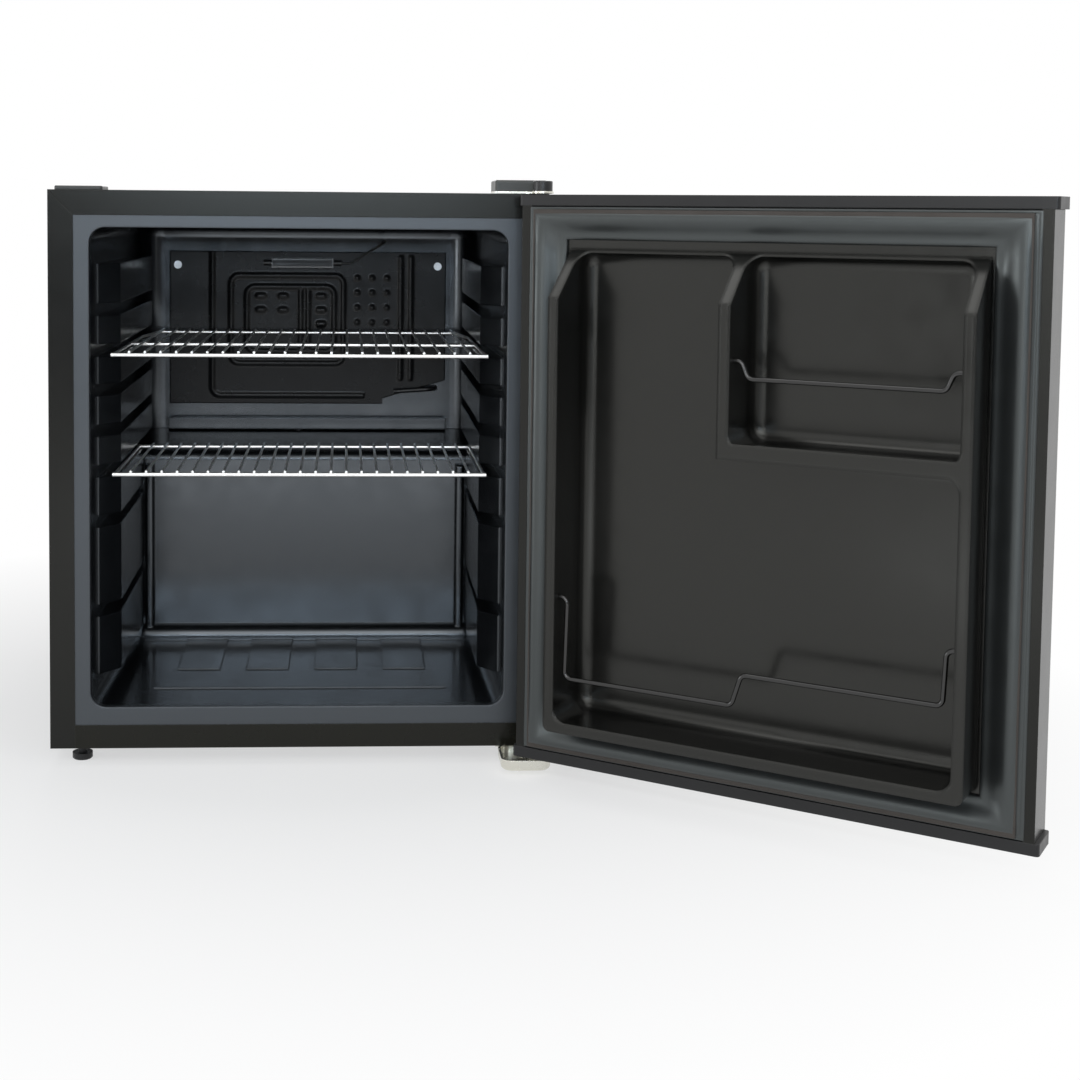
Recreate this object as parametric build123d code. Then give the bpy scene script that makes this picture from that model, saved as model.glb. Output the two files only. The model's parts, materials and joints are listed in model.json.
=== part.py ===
from build123d import *
import math
import os

# Compact upright refrigerator with one right-hinged door, modelled with the door standing open.
# Millimetres, +Z up. Origin on the floor under the middle of the cabinet; the front faces -Y.

# Cabinet sizes
cabinet_width = 440.0
cabinet_depth = 400.0
cabinet_bottom = 16.0
cabinet_top = 513.0
sheet = 0.8
frame_width = 22.0
fit_gap = 0.3
rear_insulation = 50.0
niche_room = 110.0
hump_insulation = 40.0

# Compartment sizes
opening_width = 369.0
opening_bottom = 53.0
opening_top = 480.5
liner_wall = 1.5
liner_flange_overlap = 7.0
compartment_depth = cabinet_depth - rear_insulation
rear_width = 356.0
edge_radius = 14.0
rear_corner_radius = 24.0
niche_depth = cabinet_depth - niche_room
hump_front_depth = niche_depth - hump_insulation
hump_front_top = 247.0
hump_rear_top = 262.0
hump_edge_radius = 9.0
foot_step_height = 15.0
foot_step_depth = 13.0
foot_step_radius = 12.0
foot_step_width = 334.0
hump_post_outer = 164.0
hump_post_width = 9.0
hump_post_depth = 8.0
hump_post_drop = 12.0
hump_post_radius = 3.4
floor_pad_width = 41.0
floor_pad_pitch = 66.0
floor_pad_rise = 1.2
floor_pad_front = 125.0
floor_bead_length = 270.0
floor_bead_depth = 60.0
floor_bead_size = 2.4

# Shelf guides moulded in the side walls: support heights, and the slot above each support
guide_levels = [125.0, 207.0, 253.0, 290.0, 327.0, 363.0, 400.0]
guide_slot = 11.0
guide_first_bottom = 72.0
guide_last_height = 36.0
guide_inner_width = 330.0
guide_front_depth = 42.0
guide_front_slant = 22.0
guide_low_rear_gap = 9.0
guide_high_rear_gap = 28.0
guide_low_count = 3

# Wire shelves
shelf_width = 341.0
shelf_bar_diameter = 4.0
shelf_side_diameter = 3.4
shelf_side_bend = 20.0
shelf_wire_diameter = 2.4
shelf_wire_pitch = 14.0
shelf_weld = 0.5
shelf_weld_spread = [0.0, 0.06, 0.02, 0.08, 0.04]
upper_shelf_front = 38.0
upper_shelf_middle = 164.0
upper_shelf_rear = compartment_depth - 16.0
upper_shelf_rear_width = 318.0
upper_shelf_bend = upper_shelf_rear - 72.0
upper_shelf_level = 5
lower_shelf_front = 46.0
lower_shelf_rear = hump_front_depth - 18.0
lower_shelf_level = 2

# Evaporator plate and thermostat; the plate hangs over the drain gutter
gutter_height = 272.0
evaporator_width = 298.0
evaporator_bottom = gutter_height + 15.0
evaporator_top = 452.0
evaporator_thickness = 1.6
evaporator_gap = 5.0
evaporator_notch_x = 81.0
evaporator_notch_height = 26.0
evaporator_notch_rise = 6.0
evaporator_channel = 5.0
evaporator_channel_rise = 1.4
# Blown channels: closed frames as left, right, lower and upper lines, then single runs and dimples
channel_frames = [(-83.0, 38.0, 331.0, 426.0), (-66.0, 28.0, 344.0, 414.0), (-8.0, 0.0, 344.0, 414.0)]
channel_start_x = -103.0
channel_end_x = 70.0
channel_uprights = [100.0, 111.0]
small_dimple = 7.0
small_dimple_columns = [53.0, 69.0, 85.0]
small_dimple_rows = 4
small_dimple_pitch = 16.0
small_dimple_top = 424.0
large_dimple = 9.0
large_dimple_places = [(-51.0, 404.0), (-27.0, 404.0), (-51.0, 389.0), (-27.0, 389.0)]
large_dimple_places += [(14.0, 404.0), (14.0, 389.0), (14.0, 374.0)]
evaporator_screw_inset_x = 9.0
evaporator_screw_drop = 15.0
evaporator_screw_diameter = 4.0
evaporator_washer_diameter = 8.5
evaporator_washer = 1.2
evaporator_screw_head = 2.2
evaporator_screw_bite = 10.0
bulb_diameter = 6.0
bulb_length = 84.0
bulb_height = 440.0
bulb_clip_length = 66.0
bulb_clip_height = 11.0
bulb_clip_depth = 9.0
bulb_centre_x = -6.0
capillary_diameter = 2.4
capillary_exit_x = 82.0
capillary_exit_z = 463.0
thermostat_size = 46.0
thermostat_depth = 26.0
knob_diameter = 34.0
knob_height = 14.0
knob_shaft_diameter = 6.0
knob_shaft_length = 12.0
knob_flutes = 18
knob_flute = 2.4
knob_mark = 1.6
knob_mark_inset = 3.0
knob_mark_depth = 1.0
running_clearance = 0.05

# Drain
gutter_projection = 12.0
gutter_wall = 1.6
gutter_width = 300.0
drain_diameter = 9.0
drain_bore = 6.0
drain_x = -10.0

# Machine space behind the hump
niche_top = 226.0
plate_thickness = 1.6
compressor_x = -40.0
compressor_width = 150.0
compressor_depth = 92.0
compressor_height = 122.0
compressor_lift = 14.0
grommet_diameter = 16.0
grommet_spacing_x = 124.0
grommet_spacing_y = 66.0
grommet_bolt_diameter = 6.0
tray_width = 120.0
tray_depth = 70.0
tray_height = 18.0
tray_wall = 1.6
tube_diameter = 5.0
drier_diameter = 14.0
drier_length = 80.0
condenser_tube_diameter = 4.8
condenser_wire_diameter = 1.6
condenser_width = 350.0
condenser_bottom = 246.0
condenser_top = 428.0
condenser_rows = 9
condenser_wires = 34
condenser_standoff = 16.0
condenser_bend = 8.0
bracket_width = 14.0
bracket_thickness = 1.5
bracket_screw_drop = 7.0
back_screw_inset = 20.0
back_screw_side = 6.0

gland_diameter = 12.0
gland_bore = 7.5
gland_inset_x = 70.0
gland_inset_depth = 14.0

# Feet
foot_diameter = 18.0
foot_pad_height = 6.0
foot_stud_diameter = 8.0
foot_inset_x = 25.0
foot_inset_depth = 24.0
rear_foot_diameter = 24.0
rear_foot_inset_x = 36.0
rear_foot_inset_depth = 26.0
foot_stud_reach = 10.0
foot_lift = 4.0

# Door sizes, written for the closed door
door_bottom = 19.0
door_top = 512.0
door_thickness = 44.0
door_rim = 7.0
door_sheet = 0.8
cap_height = 9.5
cap_nub = 3.5
open_angle = 146.0
hinge_x = 211.0
hinge_reach = 27.0
hinge_pin_diameter = 8.0
bush_wall = 2.5
bush_floor = 0.5
pin_end_gap = 0.5
gasket_width = 25.0
gasket_inset = 10.5
gasket_gap = 0.3
gasket_base = 12.0
magnet_width = 8.0
magnet_depth = 3.0
door_liner_wall = 1.5
door_panel_depth = 26.0
rib_reach = 30.0
rib_half_width = 175.0
rib_face = 9.0
rib_foot_radius = 6.0
rib_bottom = 59.0
rib_slant_top = 466.0
rib_slant_bottom = 426.0
divider_x = 19.5
divider_face = 10.0
door_shelf_bottom = 303.0
door_shelf_top = 316.0
door_shelf_lip = 4.0
door_recess_radius = 12.0
door_floor_radius = 10.0
rail_diameter = 4.0
rail_bend = 6.0
rail_depth = 20.0
rail_hole_clearance = 0.3
upper_rail_pivot = 381.0
upper_rail_low = 367.0
lower_rail_pivot = 173.0
lower_rail_low = 104.0
lower_rail_step = 130.0
lower_rail_step_x = 3.0

# Hinge hardware
hinge_plate = 2.0
hinge_screw_inset = 12.0
top_hinge_left = 172.0
top_hinge_rear = 46.0
top_cover_height = 10.0
top_cover_wall = 1.6
hinge_boss_radius = 9.5
blank_cover_width = 42.0
blank_cover_depth = 40.0
blank_cover_height = 3.5
blank_cover_inset = 5.0
bottom_hinge_left = 178.0
bottom_hinge_rear = 44.0
bottom_hinge_radius = 13.0
bottom_hinge_lip = 9.0
screw_head_diameter = 8.0
screw_head_height = 2.4
screw_shank_diameter = 4.0
screw_shank_length = 6.0

# Places worked out from the sizes above
half = cabinet_width / 2
front = -cabinet_depth / 2
opening_half = opening_width / 2
inner_half = half - sheet
flange_half = half - frame_width
flange_bottom = cabinet_bottom + frame_width - 1.0
flange_top = cabinet_top - frame_width
pan_bottom = cabinet_bottom + sheet
pan_top = pan_bottom + sheet
evaporator_rear = compartment_depth - evaporator_gap
bush_depth = cap_height - bush_floor
bush_diameter = hinge_pin_diameter + 2 * bush_wall
hinge_pin_depth = bush_depth - pin_end_gap


def y_in(depth):
    """Y of a point this far behind the front plane of the cabinet."""
    return front + depth


def y_out(reach):
    """Y of a point this far in front of the front plane of the cabinet."""
    return front - reach


def block(x0, x1, y0, y1, z0, z1):
    """Box between two corners."""
    size = (abs(x1 - x0), abs(y1 - y0), abs(z1 - z0))
    return Pos((x0 + x1) / 2, (y0 + y1) / 2, (z0 + z1) / 2) * Box(*size)


def rod_x(x0, x1, y, z, diameter):
    return Pos((x0 + x1) / 2, y, z) * Rot(0, 90, 0) * Cylinder(diameter / 2, abs(x1 - x0))


def rod_y(y0, y1, x, z, diameter):
    return Pos(x, (y0 + y1) / 2, z) * Rot(90, 0, 0) * Cylinder(diameter / 2, abs(y1 - y0))


def rod_z(z0, z1, x, y, diameter):
    return Pos(x, y, (z0 + z1) / 2) * Cylinder(diameter / 2, abs(z1 - z0))


def tube_path(points, bend, diameter):
    """Round bar along straight runs joined by tangent arcs."""
    path = FilletPolyline(*points, radius=bend)
    start = Vector(*points[0])
    direction = Vector(*points[1]) - start
    section = Plane(origin=start, z_dir=direction) * Circle(diameter / 2)
    return sweep(section, path=path)


def front_prism(outline, y0, y1):
    """Solid with an outline of (x, z) points, running from y0 back to y1."""
    face = make_face(Polyline(*[(x, y1, z) for x, z in outline], close=True))
    return extrude(face, amount=y1 - y0, dir=(0, -1, 0))


def side_prism(outline, x0, x1):
    """Solid with an outline of (y, z) points, running from x0 to x1."""
    face = make_face(Polyline(*[(x0, y, z) for y, z in outline], close=True))
    return extrude(face, amount=x1 - x0, dir=(1, 0, 0))


def plan_prism(outline, z0, z1):
    """Solid with an outline of (x, y) points, running from z0 up to z1."""
    face = make_face(Polyline(*[(x, y, z0) for x, y in outline], close=True))
    return extrude(face, amount=z1 - z0, dir=(0, 0, 1))


def edges_along(shape, axis):
    return shape.edges().filter_by(axis)


def mirrored(shape):
    return mirror(shape, about=Plane.YZ)


def screw_down(x, y, z):
    """Pan-head screw with its head standing on height z."""
    head = rod_z(z, z + screw_head_height, x, y, screw_head_diameter)
    head = fillet(head.edges().group_by(Axis.Z)[-1], screw_head_height * 0.45)
    return head + rod_z(z - screw_shank_length, z, x, y, screw_shank_diameter)


def screw_hole(x, y, z0, z1):
    return rod_z(z0, z1, x, y, screw_shank_diameter + fit_gap)


# Cabinet liner: the moulded inside of the compartment
def compartment(grow):
    """Space inside the liner, grown by the given wall all round."""
    f = opening_half + grow
    r = rear_width / 2 + grow
    back = y_in(compartment_depth + grow)
    mouth = y_in(-1.0)
    plan = [(-f, mouth), (f, mouth), (r, back), (-r, back)]
    space = plan_prism(plan, opening_bottom - grow, opening_top + grow)
    rear_edges = edges_along(space, Axis.Z).group_by(Axis.Y)[-1]
    space = fillet(rear_edges, rear_corner_radius + grow)
    long_edges = space.edges().group_by(Axis.Z)[0] + space.edges().group_by(Axis.Z)[-1]
    mouth_edges = long_edges.filter_by(lambda e: abs(e.center().Y - mouth) < 0.01)
    space = fillet([e for e in long_edges if e not in mouth_edges], edge_radius + grow)
    space -= hump(grow)
    for side in (-1, 1):
        for pad in guide_pads(grow):
            space -= pad if side > 0 else mirrored(pad)
    for pad in floor_relief(grow):
        space -= pad
    return space


def hump(shrink):
    """Block over the machine space, with a step along its foot and a rounded post at each side."""
    low = opening_bottom - 20.0
    y0 = y_in(hump_front_depth + shrink)
    y1 = y_in(compartment_depth + 20.0)
    outline = [(y0, low), (y0, hump_front_top - shrink), (y1, hump_rear_top - shrink), (y1, low)]
    body = side_prism(outline, -half, half)
    crest = edges_along(body, Axis.X).group_by(Axis.Y)[0].sort_by(Axis.Z)[-1]
    body = fillet(crest, hump_edge_radius - shrink)
    step_front = y_in(hump_front_depth - foot_step_depth + shrink)
    step_half = foot_step_width / 2 - shrink
    step_top = opening_bottom + foot_step_height - shrink
    step = block(-step_half, step_half, step_front, y_in(hump_front_depth + 5.0), low, step_top)
    nose = edges_along(step, Axis.X).group_by(Axis.Y)[0].sort_by(Axis.Z)[-1]
    body += fillet(nose, foot_step_radius - shrink)
    outer = hump_post_outer - shrink
    inner = hump_post_outer - hump_post_width + shrink
    post_top = hump_front_top - hump_post_drop - shrink
    post_front = y_in(hump_front_depth - hump_post_depth + shrink)
    post = block(inner, outer, post_front, y_in(hump_front_depth + 5.0), low, post_top)
    face = post.faces().sort_by(Axis.Y)[0]
    post = fillet([e for e in face.edges() if e.center().Z > low + 1.0], hump_post_radius - shrink)
    return body + post + mirrored(post)


def guide_pads(shrink):
    """Raised pads on the right wall: a shelf slides in the slot between two of them."""
    bottoms = [guide_first_bottom] + [level + guide_slot for level in guide_levels]
    tops = guide_levels + [guide_levels[-1] + guide_slot + guide_last_height]
    pads = []
    for index, (low, high) in enumerate(zip(bottoms, tops)):
        rear = compartment_depth - guide_high_rear_gap
        if index < guide_low_count:
            rear = hump_front_depth - guide_low_rear_gap
        inner = guide_inner_width / 2 + shrink
        outer = half
        y0 = y_in(guide_front_depth + shrink)
        y1 = y_in(rear - shrink)
        slant = guide_front_slant
        plan = [(inner, y0 + slant), (inner, y1 - 4.0), (inner + 4.0, y1), (outer, y1), (outer, y0)]
        plan.append((opening_half - 2.0, y0))
        pads.append(plan_prism(plan, low + shrink, high - shrink))
    return pads


def floor_relief(shrink):
    """Low pads and one straight bead on the compartment floor."""
    top = opening_bottom + floor_pad_rise - shrink
    pieces = []
    for index in (-1.5, -0.5, 0.5, 1.5):
        x = index * floor_pad_pitch
        w = floor_pad_width / 2 - shrink
        y0 = y_in(floor_pad_front + shrink)
        pieces.append(block(x - w, x + w, y0, y_in(hump_front_depth + 5.0), opening_bottom - 8.0, top))
    w = floor_bead_length / 2 - shrink
    d = max(floor_bead_size / 2 - shrink, floor_bead_size * 0.1)
    y = y_in(floor_bead_depth)
    pieces.append(block(-w, w, y - d, y + d, opening_bottom - 8.0, top))
    return pieces


def hump_top_at(depth):
    """Height of the sloping top of the hump at a depth behind the front plane."""
    run = compartment_depth + 20.0 - hump_front_depth
    return hump_front_top + (hump_rear_top - hump_front_top) * (depth - hump_front_depth) / run


# Places of the machine parts
bulb_y = y_in(evaporator_rear - evaporator_thickness - bulb_clip_depth / 2)
niche_middle = y_in((niche_depth + sheet + cabinet_depth) / 2)
plate_top = cabinet_bottom + plate_thickness
compressor_bottom = plate_top + compressor_lift
compressor_top = compressor_bottom + compressor_height
panel_back = y_in(cabinet_depth + sheet)
condenser_y = panel_back + condenser_standoff
condenser_inlet = niche_top - 90.0
drier_x = condenser_width / 2 + 14.0
drier_top = niche_top - 60.0
coil_start = condenser_bottom - condenser_bend - 1.0
coil_end = condenser_top - condenser_bend - 1.0
gutter_bottom = hump_top_at(compartment_depth) + fit_gap
drain_y = y_in(compartment_depth - gutter_projection / 2)
gland_place = (-half + gland_inset_x, y_in(cabinet_depth - gland_inset_depth))
suction_y = y_in(evaporator_rear - evaporator_thickness - tube_diameter / 2 - running_clearance)
suction_start = (evaporator_notch_x + 12.0, suction_y, evaporator_bottom + 14.0)
suction_wall_x = 138.0
suction_down_depth = cabinet_depth - 24.0
suction_points = [
    suction_start,
    (suction_wall_x, suction_start[1], suction_start[2] + 3.0),
    (suction_wall_x, y_in(suction_down_depth), suction_start[2] + 3.0),
    (suction_wall_x, y_in(suction_down_depth), compressor_bottom + 70.0),
    (compressor_x + compressor_width / 2 - 1.0, y_in(suction_down_depth - 16.0), compressor_bottom + 70.0),
]
capillary_points = [
    (bulb_centre_x + bulb_length / 2 - 1.0, bulb_y, bulb_height),
    (bulb_centre_x + bulb_length / 2 + 10.0, bulb_y, bulb_height),
    (capillary_exit_x, bulb_y, capillary_exit_z),
    (capillary_exit_x, panel_back + 4.0, capillary_exit_z),
]


def suction_room(extra):
    return tube_path(suction_points, 9.0, tube_diameter + 2 * extra)


def capillary_room(extra):
    return tube_path(capillary_points, 6.0, capillary_diameter + 2 * extra)


def drain_room(extra):
    return rod_z(tray_top_height() + 6.0, gutter_bottom, drain_x, drain_y, drain_diameter + 2 * extra)


def tray_top_height():
    return compressor_top + tray_height


def evaporator_screw_places():
    x = evaporator_width / 2 - evaporator_screw_inset_x
    return [(-x, evaporator_top - evaporator_screw_drop), (x, evaporator_top - evaporator_screw_drop)]


def wall_holes():
    """Everything that passes through the liner, the foam or the sheets behind them."""
    holes = suction_room(fit_gap) + capillary_room(fit_gap) + drain_room(fit_gap)
    for x, z in evaporator_screw_places():
        end = y_in(compartment_depth + evaporator_screw_bite + 2.0)
        holes += rod_y(y_in(evaporator_rear), end, x, z, evaporator_screw_diameter + fit_gap)
    return holes


def cabinet_liner():
    inside = compartment(0.0)
    walls = compartment(liner_wall) - inside
    walls -= block(-half, half, y_in(-5.0), y_in(sheet), 0, cabinet_top)
    return walls + (liner_flange(sheet) - inside) - wall_holes()


def liner_flange(start):
    """Rim of the liner behind the front frame, from a depth behind the front plane."""
    reach = flange_half + liner_flange_overlap
    low, high = flange_bottom - liner_flange_overlap, flange_top + liner_flange_overlap
    return block(-reach, reach, y_in(start), y_in(sheet + liner_wall), low, high)


def cabinet_foam():
    back = y_in(cabinet_depth - sheet)
    body = block(-inner_half, inner_half, y_in(sheet), back, pan_top, cabinet_top - sheet)
    body -= compartment(liner_wall) + liner_flange(0)
    body -= block(-half, half, y_in(niche_depth), back + 1.0, 0, niche_top)
    body -= wall_holes()
    for hole in condenser_screw_holes():
        body -= hole
    for x, y in front_foot_places():
        body -= foot_room(x, y)
    for x, y in top_screw_places():
        body -= screw_hole(x, y, cabinet_top - screw_shank_length - 2.0, cabinet_top)
    for x, y in bottom_screw_places():
        body -= screw_hole(x, y, 0, cabinet_bottom + screw_shank_length + 2.0)
    return body


def outer_shell():
    """Folded sheet: two sides, the top and the front flange with mitred upper corners."""
    back = y_in(cabinet_depth)
    body = block(-half, half, y_in(0), back, cabinet_bottom, cabinet_top)
    body -= block(-inner_half, inner_half, y_in(sheet), back - sheet, 0, cabinet_top - sheet)
    body -= block(-flange_half, flange_half, y_in(-1.0), y_in(2.0), 0, flange_top)
    rear = flange_half + 12.0
    body -= block(-rear, rear, back - 2.0, back + 1.0, 0, cabinet_top - 12.0)
    for side in (-1, 1):
        line = [(side * flange_half, flange_top), (side * half, cabinet_top)]
        groove_half = 0.25
        outline = [(line[0][0], line[0][1] - groove_half), (line[1][0], line[1][1] - groove_half)]
        outline += [(line[1][0], line[1][1] + groove_half), (line[0][0], line[0][1] + groove_half)]
        body -= front_prism(outline, y_in(-0.2), y_in(sheet / 2))
    for x, y in top_screw_places():
        body -= screw_hole(x, y, cabinet_top - 2.0, cabinet_top + 1.0)
    for x, z in back_screw_places():
        body -= rod_y(back - 2.0, back + 1.0, x, z, screw_shank_diameter + fit_gap)
    return body


def front_bottom_rail():
    web = block(-flange_half, flange_half, y_in(0), y_in(sheet), cabinet_bottom, flange_bottom)
    foot = block(-flange_half, flange_half, y_in(0), y_in(18.0), cabinet_bottom, pan_bottom)
    rail = web + foot
    for x, y in bottom_screw_places() + front_foot_places():
        rail -= rod_z(0, pan_top, x, y, foot_stud_diameter + 3.0)
    return rail


def base_pan():
    """Floor sheet that steps up over the machine space."""
    end = y_in(niche_depth + sheet)
    floor = block(-inner_half, inner_half, y_in(sheet), end, pan_bottom, pan_top)
    wall = block(-inner_half, inner_half, y_in(niche_depth), end, pan_bottom, niche_top)
    roof_end = y_in(cabinet_depth - sheet)
    roof = block(-inner_half, inner_half, y_in(niche_depth), roof_end, niche_top - sheet, niche_top)
    pan = floor + wall + roof
    for x, y in front_foot_places():
        pan -= rod_z(0, pan_top + 1.0, x, y, foot_stud_diameter + 2 * fit_gap)
    for x, y in bottom_screw_places():
        pan -= screw_hole(x, y, 0, pan_top + 1.0)
    return pan - wall_holes()


def back_panel():
    y0, y1 = y_in(cabinet_depth), panel_back
    panel = block(-half, half, y0, y1, niche_top, cabinet_top)
    for hole in condenser_screw_holes():
        panel -= hole
    return panel - capillary_room(fit_gap)


def back_screw_places():
    """Screws that hold the back panel on the turned-in edges of the shell."""
    x = half - back_screw_side
    low, high = niche_top + back_screw_inset, cabinet_top - back_screw_inset
    return [(side * x, z) for side in (-1, 1) for z in (low, (low + high) / 2, high)]


def back_panel_screws():
    screws = []
    for x, z in back_screw_places():
        screws.append(Pos(x, panel_back, z) * Rot(-90, 0, 0) * screw_down(0, 0, 0))
    return screws


def evaporator_plate():
    """Roll-bonded plate: flat sheet with blown channels and dimples on its face."""
    w = evaporator_width / 2
    y1 = y_in(evaporator_rear)
    y0 = y1 - evaporator_thickness
    notch = evaporator_bottom + evaporator_notch_height
    outline = [(-w, evaporator_bottom), (evaporator_notch_x, evaporator_bottom)]
    outline += [(evaporator_notch_x, evaporator_bottom + evaporator_notch_rise), (w, notch)]
    outline += [(w, evaporator_top), (-w, evaporator_top)]
    plate = front_prism(outline, y0, y1)
    c = evaporator_channel / 2
    ridge_y = y0 - evaporator_channel_rise
    top, low = evaporator_top - 6.0, evaporator_bottom + 9.0

    def upright(x, z0, z1):
        return block(x - c, x + c, ridge_y, y0 + 0.5, z0, z1)

    def level(x0, x1, z):
        return block(x0 - c, x1 + c, ridge_y, y0 + 0.5, z - c, z + c)

    ridges = upright(channel_start_x, low, top) + level(channel_start_x, channel_end_x, low)
    for x0, x1, z0, z1 in channel_frames:
        ridges += upright(x0, z0, z1) + upright(x1, z0, z1) + level(x0, x1, z1) + level(x0, x1, z0)
    for x in channel_uprights:
        ridges += upright(x, evaporator_bottom + evaporator_notch_height + 2.0, top)
    for x in small_dimple_columns:
        for row in range(small_dimple_rows):
            ridges += rod_y(ridge_y, y0 + 0.5, x, small_dimple_top - small_dimple_pitch * row, small_dimple)
    for x, z in large_dimple_places:
        ridges += rod_y(ridge_y, y0 + 0.5, x, z, large_dimple)
    plate += ridges
    for x, z in evaporator_screw_places():
        plate -= rod_y(y0 - 3.0, y1 + 1.0, x, z, evaporator_screw_diameter + fit_gap)
    return plate


def evaporator_spacers():
    """Plastic sleeves that hold the plate off the back wall."""
    sleeves = []
    for x, z in evaporator_screw_places():
        sleeve = rod_y(y_in(evaporator_rear), y_in(compartment_depth), x, z, evaporator_washer_diameter)
        bore = evaporator_screw_diameter + fit_gap
        sleeves.append(sleeve - rod_y(y_in(0), y_in(cabinet_depth), x, z, bore))
    return sleeves


def evaporator_screws():
    screws = []
    y0 = y_in(evaporator_rear - evaporator_thickness)
    for x, z in evaporator_screw_places():
        washer_front = y0 - evaporator_washer
        washer = rod_y(washer_front, y0, x, z, evaporator_washer_diameter)
        head_front = washer_front - evaporator_screw_head
        head = rod_y(head_front, washer_front, x, z, evaporator_washer_diameter * 0.6)
        shank_end = y_in(compartment_depth + evaporator_screw_bite)
        shank = rod_y(washer_front, shank_end, x, z, evaporator_screw_diameter)
        screws.append(washer + head + shank)
    return screws


def bulb_clip():
    """Clear clip that presses the thermostat bulb on the plate."""
    y1 = y_in(evaporator_rear - evaporator_thickness)
    x0, x1 = bulb_centre_x - bulb_clip_length / 2, bulb_centre_x + bulb_clip_length / 2
    z0, z1 = bulb_height - bulb_clip_height / 2, bulb_height + bulb_clip_height / 2
    y0 = y1 - bulb_clip_depth
    body = block(x0, x1, y0, y1 - evaporator_channel_rise - 0.1, z0, z1)
    body = fillet(edges_along(body, Axis.X).group_by(Axis.Y)[0], 1.5)
    return body - rod_x(x0 - 1.0, x1 + 1.0, bulb_y, bulb_height, bulb_diameter + 0.1)


def thermostat_bulb():
    x0, x1 = bulb_centre_x - bulb_length / 2, bulb_centre_x + bulb_length / 2
    return rod_x(x0, x1, bulb_y, bulb_height, bulb_diameter) + capillary_room(0.0)


def thermostat_body():
    s = thermostat_size / 2
    x, z = capillary_exit_x, capillary_exit_z
    y1 = panel_back + thermostat_depth
    body = block(x - s, x + s, panel_back, y1, z - s, z + s)
    body = fillet(edges_along(body, Axis.Y), 5.0)
    body -= capillary_room(fit_gap)
    return body - rod_y(y1 - knob_shaft_length, y1 + 1.0, x, z, knob_shaft_diameter + 2 * running_clearance)


def thermostat_knob():
    x, z = capillary_exit_x, capillary_exit_z
    y1 = panel_back + thermostat_depth + fit_gap
    grip = rod_y(y1, y1 + knob_height, x, z, knob_diameter)
    grip = fillet(grip.edges().group_by(Axis.Y)[-1], 2.0)
    for index in range(knob_flutes):
        turn = 2 * math.pi * index / knob_flutes
        flute_x = x + knob_diameter / 2 * math.cos(turn)
        flute_z = z + knob_diameter / 2 * math.sin(turn)
        grip -= rod_y(y1 - 1.0, y1 + knob_height + 1.0, flute_x, flute_z, knob_flute)
    mark_low, mark_high = z + knob_mark_inset, z + knob_diameter / 2 - knob_mark_inset
    mark_y = y1 + knob_height - knob_mark_depth
    grip -= block(x - knob_mark / 2, x + knob_mark / 2, mark_y, y1 + knob_height + 1.0, mark_low, mark_high)
    return grip + rod_y(y1 - fit_gap - knob_shaft_length + 1.0, y1 + 1.0, x, z, knob_shaft_diameter)


def drip_gutter():
    y0 = y_in(compartment_depth - gutter_projection)
    y1 = y_in(compartment_depth)
    w = gutter_width / 2
    body = block(-w, w, y0, y1, gutter_bottom, gutter_height)
    t = gutter_wall
    inner = block(-w + t, w - t, y0 + t, y1 - t, gutter_bottom + t, gutter_height + 1.0)
    return body - inner - rod_z(0, gutter_height, drain_x, drain_y, drain_bore)


def drain_tube():
    tube = drain_room(0.0)
    return tube - rod_z(0, gutter_height, drain_x, drain_y, drain_bore)


def wire_shelf(front_depth, bar_depths, rear_depth, rear_width, bend_depth, level):
    """Bars across, thinner wires front to back welded on top, and a side wire each side.

    The wires sink into the bars by slightly different amounts, as resistance welds do.
    """
    bar_z = guide_levels[level] + shelf_bar_diameter / 2 + fit_gap / 2
    wire_z = bar_z + (shelf_bar_diameter + shelf_wire_diameter) / 2 - shelf_weld
    w = shelf_width / 2
    rw = rear_width / 2
    shelf = rod_x(-w, w, y_in(front_depth), bar_z, shelf_bar_diameter)
    for depth in bar_depths:
        shelf += rod_x(-w, w, y_in(depth), bar_z, shelf_bar_diameter)
    shelf += rod_x(-rw, rw, y_in(rear_depth), bar_z, shelf_bar_diameter)
    for side in (-1, 1):
        x0, x1 = side * (w - shelf_bar_diameter / 2), side * (rw - shelf_bar_diameter / 2)
        points = [(x0, y_in(front_depth), bar_z), (x0, y_in(bend_depth), bar_z)]
        points.append((x1, y_in(rear_depth), bar_z))
        if abs(x1 - x0) > 0.1:
            shelf += tube_path(points, shelf_side_bend, shelf_side_diameter)
        else:
            shelf += rod_y(y_in(front_depth), y_in(rear_depth), x0, bar_z, shelf_side_diameter)
    count = int((rw - shelf_bar_diameter) // shelf_wire_pitch)
    for index in range(-count, count + 1):
        x = index * shelf_wire_pitch
        sunk_z = wire_z - shelf_weld_spread[index % len(shelf_weld_spread)]
        shelf += rod_y(y_in(front_depth - 1.0), y_in(rear_depth + 1.0), x, sunk_z, shelf_wire_diameter)
    return shelf


def upper_shelf():
    return wire_shelf(upper_shelf_front, [upper_shelf_middle], upper_shelf_rear, upper_shelf_rear_width,
                      upper_shelf_bend, upper_shelf_level)


def lower_shelf():
    return wire_shelf(lower_shelf_front, [], lower_shelf_rear, shelf_width,
                      lower_shelf_rear, lower_shelf_level)


# Machine space: compressor, tubes, condenser and tray
def compressor_plate():
    y0, y1 = y_in(niche_depth + sheet + fit_gap), y_in(cabinet_depth - sheet)
    plate = block(-inner_half, inner_half, y0, y1, cabinet_bottom, plate_top)
    for x, y in grommet_places():
        plate -= rod_z(0, plate_top + 1.0, x, y, grommet_bolt_diameter + fit_gap)
    for x, y in rear_foot_places():
        plate -= rod_z(0, plate_top + 1.0, x, y, foot_stud_diameter + fit_gap)
    x, y = gland_place
    return plate - rod_z(0, plate_top + 1.0, x, y, gland_diameter + 2 * running_clearance)


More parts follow.
